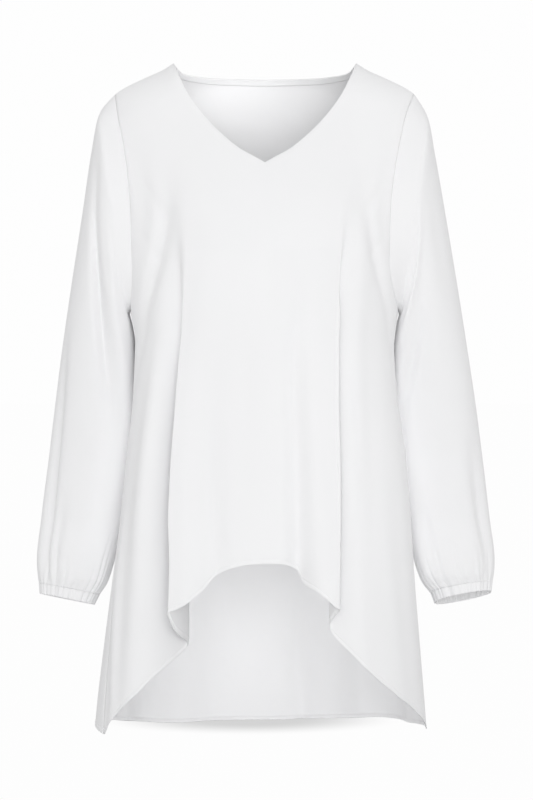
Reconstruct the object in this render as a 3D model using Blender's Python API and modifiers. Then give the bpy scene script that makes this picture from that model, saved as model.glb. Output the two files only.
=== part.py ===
"""White V-neck blouse with full sleeves, elastic cuffs and a high-low hem, hanging as it is worn.

Metres, +Z up, the front towards -Y. The origin lies midway between the two neck points, where
the shoulder seams end. Each cloth piece is an open surface with a Solidify wall.
"""

from collections import namedtuple
from math import pi

import bmesh
import bpy
import numpy as np

GARMENT = "blouse"
SIDES = {"left": -1, "right": 1}

# Cloth
WALL = 0.0014  # crepe with its turnings, as one wall
CASING_WALL = 0.0022  # elastic casing: two layers and the elastic
BINDING_WALL = 0.0010
BINDING_GAP = 0.0006
BINDING_END_GAP = 0.0024  # wider, because the back's facets bow in near the shoulder seams
SIDE_GAP = 0.0007  # side and shoulder walls meet at an angle, in a fold or over a crest
SHOULDER_GAP = 0.0007
CUFF_GAP = 0.0006
ARMHOLE_GAP = 0.0012
UNDERARM_LIFT = 0.0015  # the sleeve starts this far outside the side of the body

# Neck, shoulders and armholes
NECK_HALF_WIDTH = 0.1112
NECK_SHARE = 2 / 3  # share of a panel's upper columns that end on the neckline
FRONT_ROLL = 0.045  # height over which the front rounds over the shoulder
BACK_ROLL = 0.045
BINDING_HEIGHT = 0.0082
BINDING_ROWS = 3
BINDING_REACH = 0.85  # its ends stop just short of the shoulder seams
NOTCH_Z = -0.235  # where the armhole turns under the arm
UNDERARM_Z = -0.300
NOTCH_ACROSS = {"left": 0.79, "right": 0.71}  # share of the way from the centre to the side seam

# The body's sections are squarish ovals: x = width sin(angle), y = depth cos(angle)^FULLNESS
FULLNESS = 0.75
HALF_PANEL = 0.25  # cloth from a panel's centre to its side seam
TURN_STEP = 0.01  # half the turn over which a section's direction is taken
FIRST_HEM_Z = -0.7  # where the search for the hem starts
HEM_PASSES = 8  # the seam's angle depends on the hem's height, and the hem on the angle

# A sleeve's rings are ovals, squared towards the body: powers of the sine at their two ends
OUTER_POWER = 0.90
INNER_POWER = 0.62

# Sleeve ends
GATHERS = 16
GATHER_DEPTH = 0.0015
GATHER_REACH = 0.14  # share of the sleeve's length that the gathers run up from the cuff
CASING_GATHER = 0.7  # share of the gathers' depth left at the casing's lower edge

# Mesh density
UPPER_ROWS = 10
LOWER_ROWS = 13
FRONT_COLUMNS = (30, 6)  # between the notches, and from each notch to its side seam
BACK_COLUMNS = (24, 5)
SLEEVE_COLUMNS = 64
SLEEVE_ROWS = 14
SLEEVE_ROW_EASE = 1.15  # above 1, so that the rows draw closer towards the cuff
ARMHOLE_STEPS = 60

# Half widths, depths, each side seam's angle from the centre front in degrees, and how far the
# sides stand forward, clear of the sleeves
Section = namedtuple("Section", "z left right front back seam_left seam_right forward")
SECTIONS = [
    Section(0.020, 0.1900, 0.1900, 0.044, 0.060, 90, 90, 0),
    Section(-0.060, 0.1900, 0.1880, 0.056, 0.083, 90, 90, 0),
    Section(-0.120, 0.1830, 0.1790, 0.080, 0.102, 90, 90, 0),
    Section(-0.180, 0.1740, 0.1700, 0.106, 0.110, 90, 90, 0),
    Section(-0.240, 0.1690, 0.1660, 0.122, 0.111, 90, 90, 0),
    Section(-0.300, 0.1635, 0.1620, 0.128, 0.111, 90, 90, 0),
    Section(-0.340, 0.1570, 0.1560, 0.130, 0.112, 89, 90, 0.008),
    Section(-0.400, 0.1590, 0.1590, 0.132, 0.114, 87, 90, 0.026),
    Section(-0.480, 0.1665, 0.1690, 0.138, 0.119, 84, 89, 0.034),
    Section(-0.560, 0.1745, 0.1755, 0.146, 0.127, 80, 88, 0.034),
    Section(-0.620, 0.1825, 0.1795, 0.152, 0.134, 77, 88, 0.028),
    Section(-0.700, 0.1935, 0.1865, 0.158, 0.143, 73, 87, 0.014),
    Section(-0.780, 0.2035, 0.1935, 0.163, 0.151, 70, 86, 0.004),
    Section(-0.840, 0.2090, 0.1980, 0.166, 0.156, 68, 86, 0),
]

# Outlines seen from the front
Outline = namedtuple("Outline", "x z")
SHOULDER_LINE = [
    Outline(0.0000, 0.0280),  # inside the neck it only shapes the rounding beside it
    Outline(0.0600, 0.0210),
    Outline(0.0900, 0.0095),
    Outline(NECK_HALF_WIDTH, 0.0000),
    Outline(0.1230, -0.0075),
    Outline(0.1460, -0.0180),
    Outline(0.1710, -0.0300),
    Outline(0.1850, -0.0390),
    Outline(0.1950, -0.0480),
]
FRONT_NECKLINE = [
    Outline(0.0000, -0.1274),
    Outline(0.0120, -0.1204),
    Outline(0.0300, -0.1100),
    Outline(0.0478, -0.0952),
    Outline(0.0635, -0.0797),
    Outline(0.0785, -0.0618),
    Outline(0.0925, -0.0415),
    Outline(0.1025, -0.0215),
    Outline(NECK_HALF_WIDTH, 0.0000),
]
BACK_NECKLINE = [
    Outline(0.0000, -0.0112),
    Outline(0.0600, -0.0102),
    Outline(0.0850, -0.0088),
    Outline(0.1010, -0.0068),
    Outline(NECK_HALF_WIDTH, 0.0000),
]

# The armhole seam's x from the shoulder tip down to the notch
Armhole = namedtuple("Armhole", "z left right")
ARMHOLE = [
    Armhole(-0.0380, 0.1830, 0.1815),
    Armhole(-0.0700, 0.1780, 0.1695),
    Armhole(-0.0950, 0.1725, 0.1640),
    Armhole(-0.1300, 0.1670, 0.1575),
    Armhole(-0.1800, 0.1620, 0.1515),
    Armhole(NOTCH_Z, 0.1602, 0.1493),
]

# Hem heights by the angle from the centre front, or from the centre back, negative to the left
Hem = namedtuple("Hem", "angle z")
FRONT_HEM = [
    Hem(-68.0, -0.8075),
    Hem(-57.5, -0.7800),
    Hem(-50.0, -0.7560),
    Hem(-46.5, -0.7355),
    Hem(-43.0, -0.7130),
    Hem(-40.0, -0.6995),
    Hem(-37.5, -0.6920),
    Hem(-35.0, -0.6820),
    Hem(-33.0, -0.6680),
    Hem(-31.0, -0.6590),
    Hem(-27.0, -0.6550),
    Hem(-24.5, -0.6490),
    Hem(-22.0, -0.6380),
    Hem(-20.5, -0.6310),
    Hem(-19.4, -0.6240),
    Hem(-18.2, -0.6170),
    Hem(-16.0, -0.6115),
    Hem(-12.0, -0.6060),
    Hem(-6.5, -0.6023),
    Hem(0.5, -0.6007),
    Hem(6.5, -0.6014),
    Hem(10.4, -0.6055),
    Hem(12.8, -0.6110),
    Hem(14.2, -0.6240),
    Hem(17.0, -0.6325),
    Hem(19.0, -0.6420),
    Hem(20.5, -0.6500),
    Hem(25.5, -0.6580),
    Hem(27.0, -0.6660),
    Hem(29.0, -0.6740),
    Hem(32.5, -0.6930),
    Hem(38.0, -0.7220),
    Hem(43.0, -0.7360),
    Hem(50.0, -0.7505),
    Hem(56.0, -0.7620),
    Hem(64.0, -0.7730),
    Hem(71.0, -0.7845),
    Hem(86.0, -0.8080),
]
BACK_HEM = [
    Hem(-112.0, -0.8075),
    Hem(-90.0, -0.8020),
    Hem(-60.0, -0.8120),
    Hem(-36.0, -0.8187),
    Hem(0.0, -0.8190),
    Hem(28.0, -0.8150),
    Hem(48.0, -0.8100),
    Hem(72.0, -0.8110),
    Hem(94.0, -0.8080),
]

# Folds of the body, each a line of rows down it: the line's angle and half width at a height.
# In a lap the cloth doubles back by lap, rising at the edge and dropping beyond it.
Lap = namedtuple("Lap", "z angle width lap rise drop")
LAPS = {  # by the side that the cloth steps back towards: -1 left, 1 right
    -1: [
        Lap(-0.165, -35.0, 0.0180, 0.0000, 0.0000, 0.0000),
        Lap(-0.210, -35.0, 0.0180, 0.0030, 0.0010, 0.0060),
        Lap(-0.290, -36.2, 0.0180, 0.0090, 0.0020, 0.0120),
        Lap(-0.350, -38.2, 0.0170, 0.0140, 0.0030, 0.0160),
        Lap(-0.400, -38.6, 0.0160, 0.0165, 0.0040, 0.0220),
        Lap(-0.460, -38.4, 0.0160, 0.0180, 0.0050, 0.0265),
        Lap(-0.540, -37.8, 0.0170, 0.0190, 0.0070, 0.0310),
        Lap(-0.610, -35.4, 0.0190, 0.0190, 0.0090, 0.0350),
        Lap(-0.670, -34.3, 0.0190, 0.0190, 0.0100, 0.0360),
        Lap(-0.800, -33.4, 0.0190, 0.0195, 0.0110, 0.0350),
    ],
    1: [
        Lap(-0.165, 33.0, 0.0130, 0.0000, 0.0000, 0.0000),
        Lap(-0.210, 33.0, 0.0130, 0.0040, 0.0000, 0.0030),
        Lap(-0.290, 31.8, 0.0120, 0.0100, 0.0000, 0.0060),
        Lap(-0.330, 32.4, 0.0115, 0.0125, 0.0000, 0.0080),
        Lap(-0.460, 30.2, 0.0115, 0.0135, 0.0000, 0.0090),
        Lap(-0.600, 27.9, 0.0130, 0.0140, 0.0030, 0.0110),
        Lap(-0.665, 26.0, 0.0140, 0.0147, 0.0090, 0.0140),
        Lap(-0.800, 24.6, 0.0140, 0.0150, 0.0110, 0.0140),
    ],
}
Fold = namedtuple("Fold", "z angle width depth")  # a trough, or a ridge where depth is negative
FOLDS = [
    [
        Fold(-0.110, -41.0, 0.016, 0.0),
        Fold(-0.170, -42.5, 0.015, 0.0045),
        Fold(-0.208, -46.8, 0.012, 0.0075),
        Fold(-0.267, -55.0, 0.012, 0.0080),
        Fold(-0.326, -66.0, 0.013, 0.0045),
        Fold(-0.392, -80.0, 0.014, 0.0030),
        Fold(-0.460, -88.0, 0.014, 0.0),
    ],
    [
        Fold(-0.165, -41.0, 0.014, 0.0),
        Fold(-0.203, -42.1, 0.013, -0.0030),
        Fold(-0.292, -47.3, 0.015, -0.0045),
        Fold(-0.374, -53.0, 0.017, -0.0065),
        Fold(-0.457, -55.5, 0.018, -0.0080),
        Fold(-0.540, -56.0, 0.019, -0.0080),
        Fold(-0.646, -53.5, 0.020, -0.0060),
        Fold(-0.780, -53.0, 0.020, -0.0050),
    ],
    [
        Fold(-0.110, 43.0, 0.016, 0.0),
        Fold(-0.170, 44.3, 0.015, 0.0040),
        Fold(-0.206, 48.4, 0.011, 0.0050),
        Fold(-0.261, 56.0, 0.011, 0.0050),
        Fold(-0.308, 66.0, 0.012, 0.0035),
        Fold(-0.361, 80.0, 0.014, 0.0020),
        Fold(-0.430, 86.0, 0.014, 0.0),
    ],
    [
        Fold(-0.170, 43.0, 0.013, 0.0),
        Fold(-0.200, 43.4, 0.013, -0.0020),
        Fold(-0.292, 42.4, 0.014, -0.0040),
        Fold(-0.375, 41.9, 0.015, -0.0050),
        Fold(-0.539, 37.5, 0.016, -0.0050),
        Fold(-0.780, 35.0, 0.018, -0.0030),
    ],
    [
        Fold(-0.260, 12.5, 0.009, 0.0),
        Fold(-0.300, 12.9, 0.009, 0.0020),
        Fold(-0.375, 12.6, 0.010, 0.0050),
        Fold(-0.457, 12.4, 0.010, 0.0085),
        Fold(-0.608, 11.6, 0.010, 0.0120),
    ],
    [
        Fold(-0.300, 19.0, 0.009, 0.0),
        Fold(-0.375, 19.0, 0.009, -0.0025),
        Fold(-0.600, 18.6, 0.009, -0.0045),
    ],
    [
        Fold(-0.340, -24.0, 0.012, 0.0),
        Fold(-0.410, -23.5, 0.013, 0.0030),
        Fold(-0.504, -21.5, 0.013, 0.0060),
        Fold(-0.597, -19.0, 0.012, 0.0090),
        Fold(-0.660, -17.5, 0.012, 0.0090),
    ],
    [
        Fold(-0.300, -42.0, 0.010, 0.0),
        Fold(-0.400, -43.5, 0.010, 0.0040),
        Fold(-0.540, -43.0, 0.011, 0.0100),
        Fold(-0.610, -41.8, 0.011, 0.0130),
        Fold(-0.700, -40.8, 0.011, 0.0130),
    ],
    [
        Fold(-0.520, -74.0, 0.011, 0.0),
        Fold(-0.600, -72.0, 0.011, -0.0030),
        Fold(-0.690, -66.5, 0.011, -0.0045),
        Fold(-0.770, -61.5, 0.011, -0.0045),
    ],
    [
        Fold(-0.460, 60.0, 0.020, 0.0),
        Fold(-0.600, 63.0, 0.020, 0.0020),
        Fold(-0.780, 66.0, 0.020, 0.0020),
    ],
    [
        Fold(-0.280, 168.0, 0.016, 0.0),
        Fold(-0.450, 168.0, 0.016, -0.0050),
        Fold(-0.780, 167.0, 0.016, -0.0080),
    ],
    [
        Fold(-0.330, 138.0, 0.025, 0.0),
        Fold(-0.500, 139.0, 0.026, 0.0070),
        Fold(-0.800, 140.0, 0.026, 0.0120),
    ],
    [
        Fold(-0.420, 112.0, 0.023, 0.0),
        Fold(-0.600, 111.0, 0.023, 0.0040),
        Fold(-0.800, 110.0, 0.023, 0.0070),
    ],
    [
        Fold(-0.260, -150.0, 0.027, 0.0),
        Fold(-0.450, -149.0, 0.028, 0.0070),
        Fold(-0.780, -148.0, 0.028, 0.0120),
    ],
    [
        Fold(-0.420, -120.0, 0.025, 0.0),
        Fold(-0.600, -119.0, 0.025, 0.0050),
        Fold(-0.800, -118.0, 0.025, 0.0090),
    ],
]

# Sleeve rings from below the armhole to the elastic, and the casing's lower edge. outer and
# inner are a ring's ends seen from the front, y and depth its middle and half depth, and tilt
# how much lower its back is than its front.
Ring = namedtuple("Ring", "outer_x outer_z inner_x inner_z y depth tilt")
SLEEVE_RINGS = {
    "left": [
        Ring(0.2010, -0.0600, 0.1655, -0.3030, 0.004, 0.062, 0.000),
        Ring(0.2110, -0.1050, 0.1665, -0.3070, 0.008, 0.064, 0.000),
        Ring(0.2225, -0.1800, 0.1660, -0.3150, 0.013, 0.063, 0.000),
        Ring(0.2370, -0.2700, 0.1605, -0.3350, 0.021, 0.060, 0.000),
        Ring(0.2500, -0.3550, 0.1580, -0.3740, 0.030, 0.056, 0.002),
        Ring(0.2590, -0.4200, 0.1562, -0.4240, 0.040, 0.054, 0.004),
        Ring(0.2680, -0.4900, 0.1628, -0.4920, 0.047, 0.052, 0.006),
        Ring(0.2760, -0.5550, 0.1725, -0.5560, 0.045, 0.050, 0.008),
        Ring(0.2805, -0.6050, 0.1855, -0.6060, 0.033, 0.047, 0.011),
        Ring(0.2790, -0.6260, 0.1940, -0.6340, 0.027, 0.043, 0.009),
        Ring(0.2775, -0.6350, 0.2035, -0.6490, 0.023, 0.036, 0.007),
    ],
    "right": [
        Ring(0.1975, -0.0640, 0.1640, -0.3030, 0.004, 0.062, 0.000),
        Ring(0.2070, -0.1100, 0.1650, -0.3070, 0.008, 0.064, 0.000),
        Ring(0.2205, -0.1850, 0.1645, -0.3150, 0.013, 0.063, 0.000),
        Ring(0.2362, -0.2750, 0.1598, -0.3350, 0.021, 0.060, 0.000),
        Ring(0.2495, -0.3550, 0.1576, -0.3740, 0.030, 0.056, 0.002),
        Ring(0.2600, -0.4200, 0.1584, -0.4240, 0.040, 0.054, 0.004),
        Ring(0.2695, -0.4900, 0.1640, -0.4920, 0.047, 0.052, 0.006),
        Ring(0.2770, -0.5550, 0.1745, -0.5540, 0.045, 0.050, 0.008),
        Ring(0.2822, -0.6050, 0.1840, -0.6060, 0.033, 0.047, 0.012),
        Ring(0.2812, -0.6260, 0.1930, -0.6320, 0.027, 0.043, 0.014),
        Ring(0.2800, -0.6340, 0.2045, -0.6470, 0.023, 0.036, 0.015),
    ],
}
CASING_ENDS = {
    "left": Ring(0.2763, -0.6475, 0.2095, -0.6610, 0.020, 0.0345, 0.007),
    "right": Ring(0.2785, -0.6452, 0.2085, -0.6585, 0.020, 0.0345, 0.015),
}

# Sleeve folds: share of the sleeve's length, angle round the ring in degrees (0 outer, 90 front,
# 180 inner), half width in degrees, depth (negative: a ridge)
SleeveFold = namedtuple("SleeveFold", "share angle width depth")
SLEEVE_FOLDS = {
    "left": [
        [
            SleeveFold(0.05, 44, 12, 0),
            SleeveFold(0.12, 56, 12, 0.0060),
            SleeveFold(0.25, 84, 12, 0.0130),
            SleeveFold(0.38, 102, 12, 0.0110),
            SleeveFold(0.50, 112, 13, 0.0050),
            SleeveFold(0.66, 118, 14, 0),
        ],
        [
            SleeveFold(0.36, 27, 11, 0),
            SleeveFold(0.50, 29, 12, 0.0060),
            SleeveFold(0.65, 30, 12, 0.0100),
            SleeveFold(0.80, 33, 12, 0.0130),
            SleeveFold(0.92, 38, 11, 0.0085),
            SleeveFold(1.00, 45, 9, 0.0030),
        ],
        [
            SleeveFold(0.74, 62, 8, 0),
            SleeveFold(0.88, 62, 8, 0.0035),
            SleeveFold(1.00, 62, 7, 0.0030),
        ],
        [
            SleeveFold(0.07, 98, 13, 0),
            SleeveFold(0.15, 108, 14, -0.0030),
            SleeveFold(0.28, 118, 15, -0.0045),
            SleeveFold(0.45, 130, 16, -0.0040),
            SleeveFold(0.70, 132, 18, -0.0025),
            SleeveFold(0.86, 130, 18, 0),
        ],
        [
            SleeveFold(0.50, 96, 20, 0),
            SleeveFold(0.66, 96, 22, -0.0030),
            SleeveFold(0.84, 95, 22, -0.0020),
            SleeveFold(0.97, 95, 20, 0),
        ],
        [
            SleeveFold(0.08, 250, 18, 0),
            SleeveFold(0.40, 268, 18, 0.0060),
            SleeveFold(0.78, 285, 18, 0),
        ],
        [
            SleeveFold(0.42, 321, 15, 0),
            SleeveFold(0.70, 315, 15, 0.0050),
            SleeveFold(0.99, 310, 15, 0),
        ],
    ],
    "right": [
        [
            SleeveFold(0.03, 80, 12, 0),
            SleeveFold(0.10, 92, 12, -0.0025),
            SleeveFold(0.20, 122, 12, -0.0040),
            SleeveFold(0.28, 141, 12, -0.0030),
            SleeveFold(0.36, 152, 12, 0),
        ],
        [
            SleeveFold(0.18, 100, 12, 0),
            SleeveFold(0.30, 109, 13, 0.0045),
            SleeveFold(0.42, 126, 13, 0.0055),
            SleeveFold(0.52, 140, 13, 0.0040),
            SleeveFold(0.64, 150, 13, 0),
        ],
        [
            SleeveFold(0.04, 62, 14, 0),
            SleeveFold(0.18, 56, 14, 0.0025),
            SleeveFold(0.36, 48, 14, 0),
        ],
        [
            SleeveFold(0.60, 42, 13, 0),
            SleeveFold(0.80, 40, 12, 0.0060),
            SleeveFold(0.99, 38, 10, 0.0020),
        ],
        [
            SleeveFold(0.72, 126, 13, 0),
            SleeveFold(0.88, 130, 13, 0.0045),
            SleeveFold(0.99, 133, 11, 0),
        ],
        [
            SleeveFold(0.10, 270, 18, 0),
            SleeveFold(0.42, 258, 18, 0.0060),
            SleeveFold(0.76, 245, 18, 0),
        ],
        [
            SleeveFold(0.38, 314, 15, 0),
            SleeveFold(0.70, 318, 15, 0.0050),
            SleeveFold(0.99, 322, 15, 0),
        ],
    ],
}


def curve(keys, values, at):
    """Smooth curve without overshoot through values at rising keys, read at an array."""
    at = np.clip(np.asarray(at, float), keys[0], keys[-1])
    steps = np.diff(keys).reshape((-1,) + (1,) * (values.ndim - 1))
    slopes = np.diff(values, axis=0) / steps
    before, after = slopes[:-1], slopes[1:]
    weight_before = 2 * steps[1:] + steps[:-1]
    weight_after = steps[1:] + 2 * steps[:-1]
    same_way = before * after > 0
    flow = weight_before / np.where(same_way, before, 1) + weight_after / np.where(same_way, after, 1)
    middle = np.where(same_way, (weight_before + weight_after) / np.where(same_way, flow, 1), 0)
    tangents = np.concatenate([slopes[:1], middle, slopes[-1:]])
    index = np.clip(np.searchsorted(keys, at) - 1, 0, len(keys) - 2)
    share = (at - keys[index]) / np.diff(keys)[index]
    share = share.reshape(share.shape + (1,) * (values.ndim - 1))
    rise = share**2 * (3 - 2 * share)
    leaving = share * (1 - share) ** 2 * steps[index] * tangents[index]
    arriving = share**2 * (share - 1) * steps[index] * tangents[index + 1]
    return values[index] + rise * (values[index + 1] - values[index]) + leaving + arriving


def read(table, key, column, at):
    rows = sorted(table, key=lambda row: getattr(row, key))
    keys = np.array([getattr(row, key) for row in rows], float)
    values = np.array([getattr(row, column) for row in rows], float)
    return curve(keys, values, at)


def by_side(across, table, key, column, at):
    """Read the left column where across is negative, and the right one elsewhere."""
    left = read(table, key, column + "left", at)
    right = read(table, key, column + "right", at)
    return np.where(across < 0, left, right)


def eased(share):
    share = np.clip(share, 0, 1)
    return share**2 * (3 - 2 * share)


def oval(angle, z):
    """The body before it is folded; angle 0 is the centre front, negative to the left."""
    left, right = read(SECTIONS, "z", "left", z), read(SECTIONS, "z", "right", z)
    sine, cosine = np.sin(angle), np.cos(angle)
    x = (left + right) / 2 * sine + (right - left) / 2 * sine**2
    front, back = read(SECTIONS, "z", "front", z), read(SECTIONS, "z", "back", z)
    roll = np.where(cosine > 0, FRONT_ROLL, BACK_ROLL)
    drop = read(SHOULDER_LINE, "x", "z", np.abs(x)) - z
    rounding = np.sqrt(1 - (1 - np.clip(drop / roll, 0, 1)) ** 2)
    y = np.where(cosine > 0, -front, back) * np.abs(cosine) ** FULLNESS * rounding
    return x, y - read(SECTIONS, "z", "forward", z) * np.where(cosine > 0, sine**2, sine**8)


def fold_away(angle, z, fold):
    """Cloth between a point and a fold's line in fold widths, and the body's mean radius there."""
    away = (angle - read(fold, "z", "angle", z) * pi / 180 + pi) % (2 * pi) - pi
    radius = sum(read(SECTIONS, "z", column, z) for column in ("left", "right", "front", "back")) / 4
    return away * radius / read(fold, "z", "width", z), radius


def body_point(angle, z):
    angle, z = np.broadcast_arrays(np.asarray(angle, float), np.asarray(z, float))
    turned, lift = angle.copy(), np.zeros(angle.shape)
    for outward, lap in LAPS.items():
        place, radius = fold_away(angle, z, lap)
        swing = outward * place * np.exp((1 - place**2) / 2)
        rise, drop = read(lap, "z", "rise", z), read(lap, "z", "drop", z)
        turned -= outward * read(lap, "z", "lap", z) * swing / radius
        lift -= (drop + rise) / 2 * swing + (drop - rise) / 2 * swing**2
    for fold in FOLDS:
        lift -= read(fold, "z", "depth", z) * np.exp(-fold_away(angle, z, fold)[0] ** 2)
    x, y = oval(turned, z)
    ahead_x, ahead_y = oval(turned + TURN_STEP, z)
    behind_x, behind_y = oval(turned - TURN_STEP, z)
    along_x, along_y = ahead_x - behind_x, ahead_y - behind_y
    length = np.hypot(along_x, along_y)
    return np.stack([x + lift * along_y / length, y - lift * along_x / length, z], axis=-1)


def body_normal(angle, z):
    """Outward normal, taken just below the point, because the shoulder line is a crest."""
    turn, step = 0.002, 0.0003
    across = body_point(angle + turn, z - 2 * step) - body_point(angle - turn, z - 2 * step)
    up = body_point(angle, z - step) - body_point(angle, z - 3 * step)
    normal = np.cross(across, up)
    return normal / np.linalg.norm(normal, axis=-1, keepdims=True)


def seam_angle(across, z):
    return by_side(across, SECTIONS, "z", "seam_", z) * pi / 180


def panel_angle(is_front, across, z):
    seam = seam_angle(across, z)
    if is_front:
        return across * seam
    return np.where(across < 0, -pi, pi) - across * (pi - seam)


def notch_reach(across):
    return np.where(across < 0, NOTCH_ACROSS["left"], NOTCH_ACROSS["right"])


def lower_place(is_front, across, down):
    """Angle and height from the armhole's notch or underside (down 0) to the hem (down 1)."""
    hem_z = np.full(np.shape(across), FIRST_HEM_Z)
    for _ in range(HEM_PASSES):
        seam = seam_angle(across, hem_z) * 180 / pi
        reach = seam if is_front else 180 - seam
        hem_z = read(FRONT_HEM if is_front else BACK_HEM, "angle", "z", across * reach)
    notch = notch_reach(across)
    past = np.clip((np.abs(across) - notch) / (1 - notch), 0, 1)
    top_z = NOTCH_Z - (NOTCH_Z - UNDERARM_Z) * np.sqrt(1 - (1 - past) ** 2)
    z = top_z + (hem_z - top_z) * down
    return panel_angle(is_front, across, z), z


def angle_at(x, z):
    """The front angle whose oval has this x at this height."""
    left, right = read(SECTIONS, "z", "left", z), read(SECTIONS, "z", "right", z)
    middle = (left + right) / 2
    sine = 2 * x / (middle + np.sqrt(middle**2 + 2 * (right - left) * x))
    return np.arcsin(np.clip(sine, -1, 1))


def upper_place(is_front, across, down):
    """Angle and height from the neckline and shoulder (down 0) to the notches (down 1)."""
    side = np.where(across < 0, -1, 1)
    share = np.abs(across) / notch_reach(across)
    on_shoulder = np.clip((share - NECK_SHARE) / (1 - NECK_SHARE), 0, 1)
    tip_x = np.where(across < 0, ARMHOLE[0].left, ARMHOLE[0].right)
    tip_z = read(SHOULDER_LINE, "x", "z", tip_x)
    top_x = NECK_HALF_WIDTH * np.clip(share / NECK_SHARE, 0, 1)
    top_x = top_x + (tip_x - NECK_HALF_WIDTH) * on_shoulder
    neck_z = read(FRONT_NECKLINE if is_front else BACK_NECKLINE, "x", "z", top_x)
    top_z = np.where(on_shoulder > 0, read(SHOULDER_LINE, "x", "z", top_x), neck_z)
    edge_z = tip_z + (NOTCH_Z - tip_z) * down
    edge_end = by_side(across, ARMHOLE, "z", "", NOTCH_Z)
    bow = by_side(across, ARMHOLE, "z", "", edge_z) - tip_x - (edge_end - tip_x) * down
    notch_x = side * oval(across * pi / 2, NOTCH_Z)[0]
    x = side * (top_x + (notch_x - top_x) * down + share**4 * bow)
    z = top_z + (NOTCH_Z - top_z) * down
    angle = angle_at(x, z)
    return (angle if is_front else side * pi - angle), z


def upper_surface(is_front, across, down):
    """Points of a panel above the notches, stopped short of the shoulder seam."""
    points = body_point(*upper_place(is_front, across, down))
    limit = SHOULDER_GAP / 2
    points[..., 1] = np.minimum(points[..., 1], -limit) if is_front else np.maximum(points[..., 1], limit)
    return points


def panel_object(name, is_front, columns):
    """A front or back: a block between the armholes, and one from the notches to the hem."""
    inner, outer = columns
    left, right = -NOTCH_ACROSS["left"], NOTCH_ACROSS["right"]
    edge = 1 - SIDE_GAP / 2 / HALF_PANEL
    beyond = np.linspace(0, 1, outer + 1)[1:] ** 2  # even steps round the notch
    half = inner // 2
    across = np.concatenate([
        left - (edge + left) * beyond[::-1],
        np.linspace(left, 0, half + 1),
        np.linspace(0, right, half + 1)[1:],
        right + (edge - right) * beyond,
    ])
    upper_down = np.linspace(0, 1, UPPER_ROWS + 1)[:-1] ** 2  # close rows at the shoulder's crest
    lower_down = np.linspace(0, 1, LOWER_ROWS + 1)
    is_inner = (across > left - 1e-9) & (across < right + 1e-9)
    upper = upper_surface(is_front, *np.meshgrid(across, upper_down))
    lower = body_point(*lower_place(is_front, *np.meshgrid(across, lower_down)))
    rows = np.concatenate([upper, lower])
    used = np.ones(rows.shape[:2], bool)
    used[:UPPER_ROWS] = is_inner
    return grid_object(name, rows, WALL, flip=not is_front, used=used)


def grid_object(name, rows, wall, flip=False, closed=False, used=None):
    """A sheet through rows of points, with a wall; closed joins the last column to the first."""
    mesh_data = bmesh.new()
    if used is None:
        used = np.ones(rows.shape[:2], bool)
    grid = [
        [mesh_data.verts.new(point) if there else None for point, there in zip(row, flags)]
        for row, flags in zip(rows, used)
    ]
    for upper, lower in zip(grid, grid[1:]):
        pairs = list(zip(zip(upper, upper[1:]), zip(lower, lower[1:])))
        if closed:
            pairs.append(((upper[-1], upper[0]), (lower[-1], lower[0])))
        for (a, b), (d, c) in pairs:
            if all((a, b, c, d)):
                mesh_data.faces.new((a, b, c, d) if flip else (d, c, b, a))
    mesh = bpy.data.meshes.new(name)
    mesh_data.to_mesh(mesh)
    mesh_data.free()
    mesh.shade_smooth()
    piece = bpy.data.objects.new(name, mesh)
    bpy.data.collections[GARMENT].objects.link(piece)
    thickness = piece.modifiers.new("Wall", "SOLIDIFY")
    thickness.thickness = wall
    thickness.offset = 0
    return piece


def armhole_loop(side, turns):
    """The armhole from the shoulder tip, down the front, under the arm and up the back."""
    notch = NOTCH_ACROSS[side]
    down = np.linspace(0, 1, ARMHOLE_STEPS)
    past = 1 - (1 - down[1:]) ** 2
    sign = SIDES[side]
    path = []
    for is_front in (True, False):
        upper = upper_place(is_front, np.full(down.shape, sign * notch), down)
        lower = lower_place(is_front, sign * (notch + (1 - notch) * past), 0 * past)
        half = [np.concatenate([a, b]) for a, b in zip(upper, lower)]
        path.append(half if is_front else [half[0][::-1][1:], half[1][::-1][1:]])
    angle, z = (np.concatenate([front, back]) for front, back in zip(*path))
    points = body_point(angle, z)
    points[0, 1] = points[-1, 1] = 0
    length = np.concatenate([[0], np.cumsum(np.linalg.norm(np.diff(points, axis=0), axis=1))])
    share = turns / (2 * pi) * length[-1]
    angle = np.interp(share, length, np.unwrap(angle))
    z = np.interp(share, length, z)
    loop = np.stack([np.interp(share, length, points[:, axis]) for axis in range(3)], axis=-1)
    return loop, body_normal(angle, z)


def ring_points(side, ring, turns):
    sign = SIDES[side]
    outer = np.array([sign * ring.outer_x, ring.y, ring.outer_z])
    inner = np.array([sign * ring.inner_x, ring.y, ring.inner_z])
    forward = np.array([0, -ring.depth, ring.tilt / 2])
    power = (OUTER_POWER + INNER_POWER) / 2 + (OUTER_POWER - INNER_POWER) / 2 * np.cos(turns)
    across = np.cos(turns)[:, None]
    ahead = (np.sign(np.sin(turns)) * np.abs(np.sin(turns)) ** power)[:, None]
    return (outer + inner) / 2 + across * (outer - inner) / 2 + ahead * forward


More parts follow.
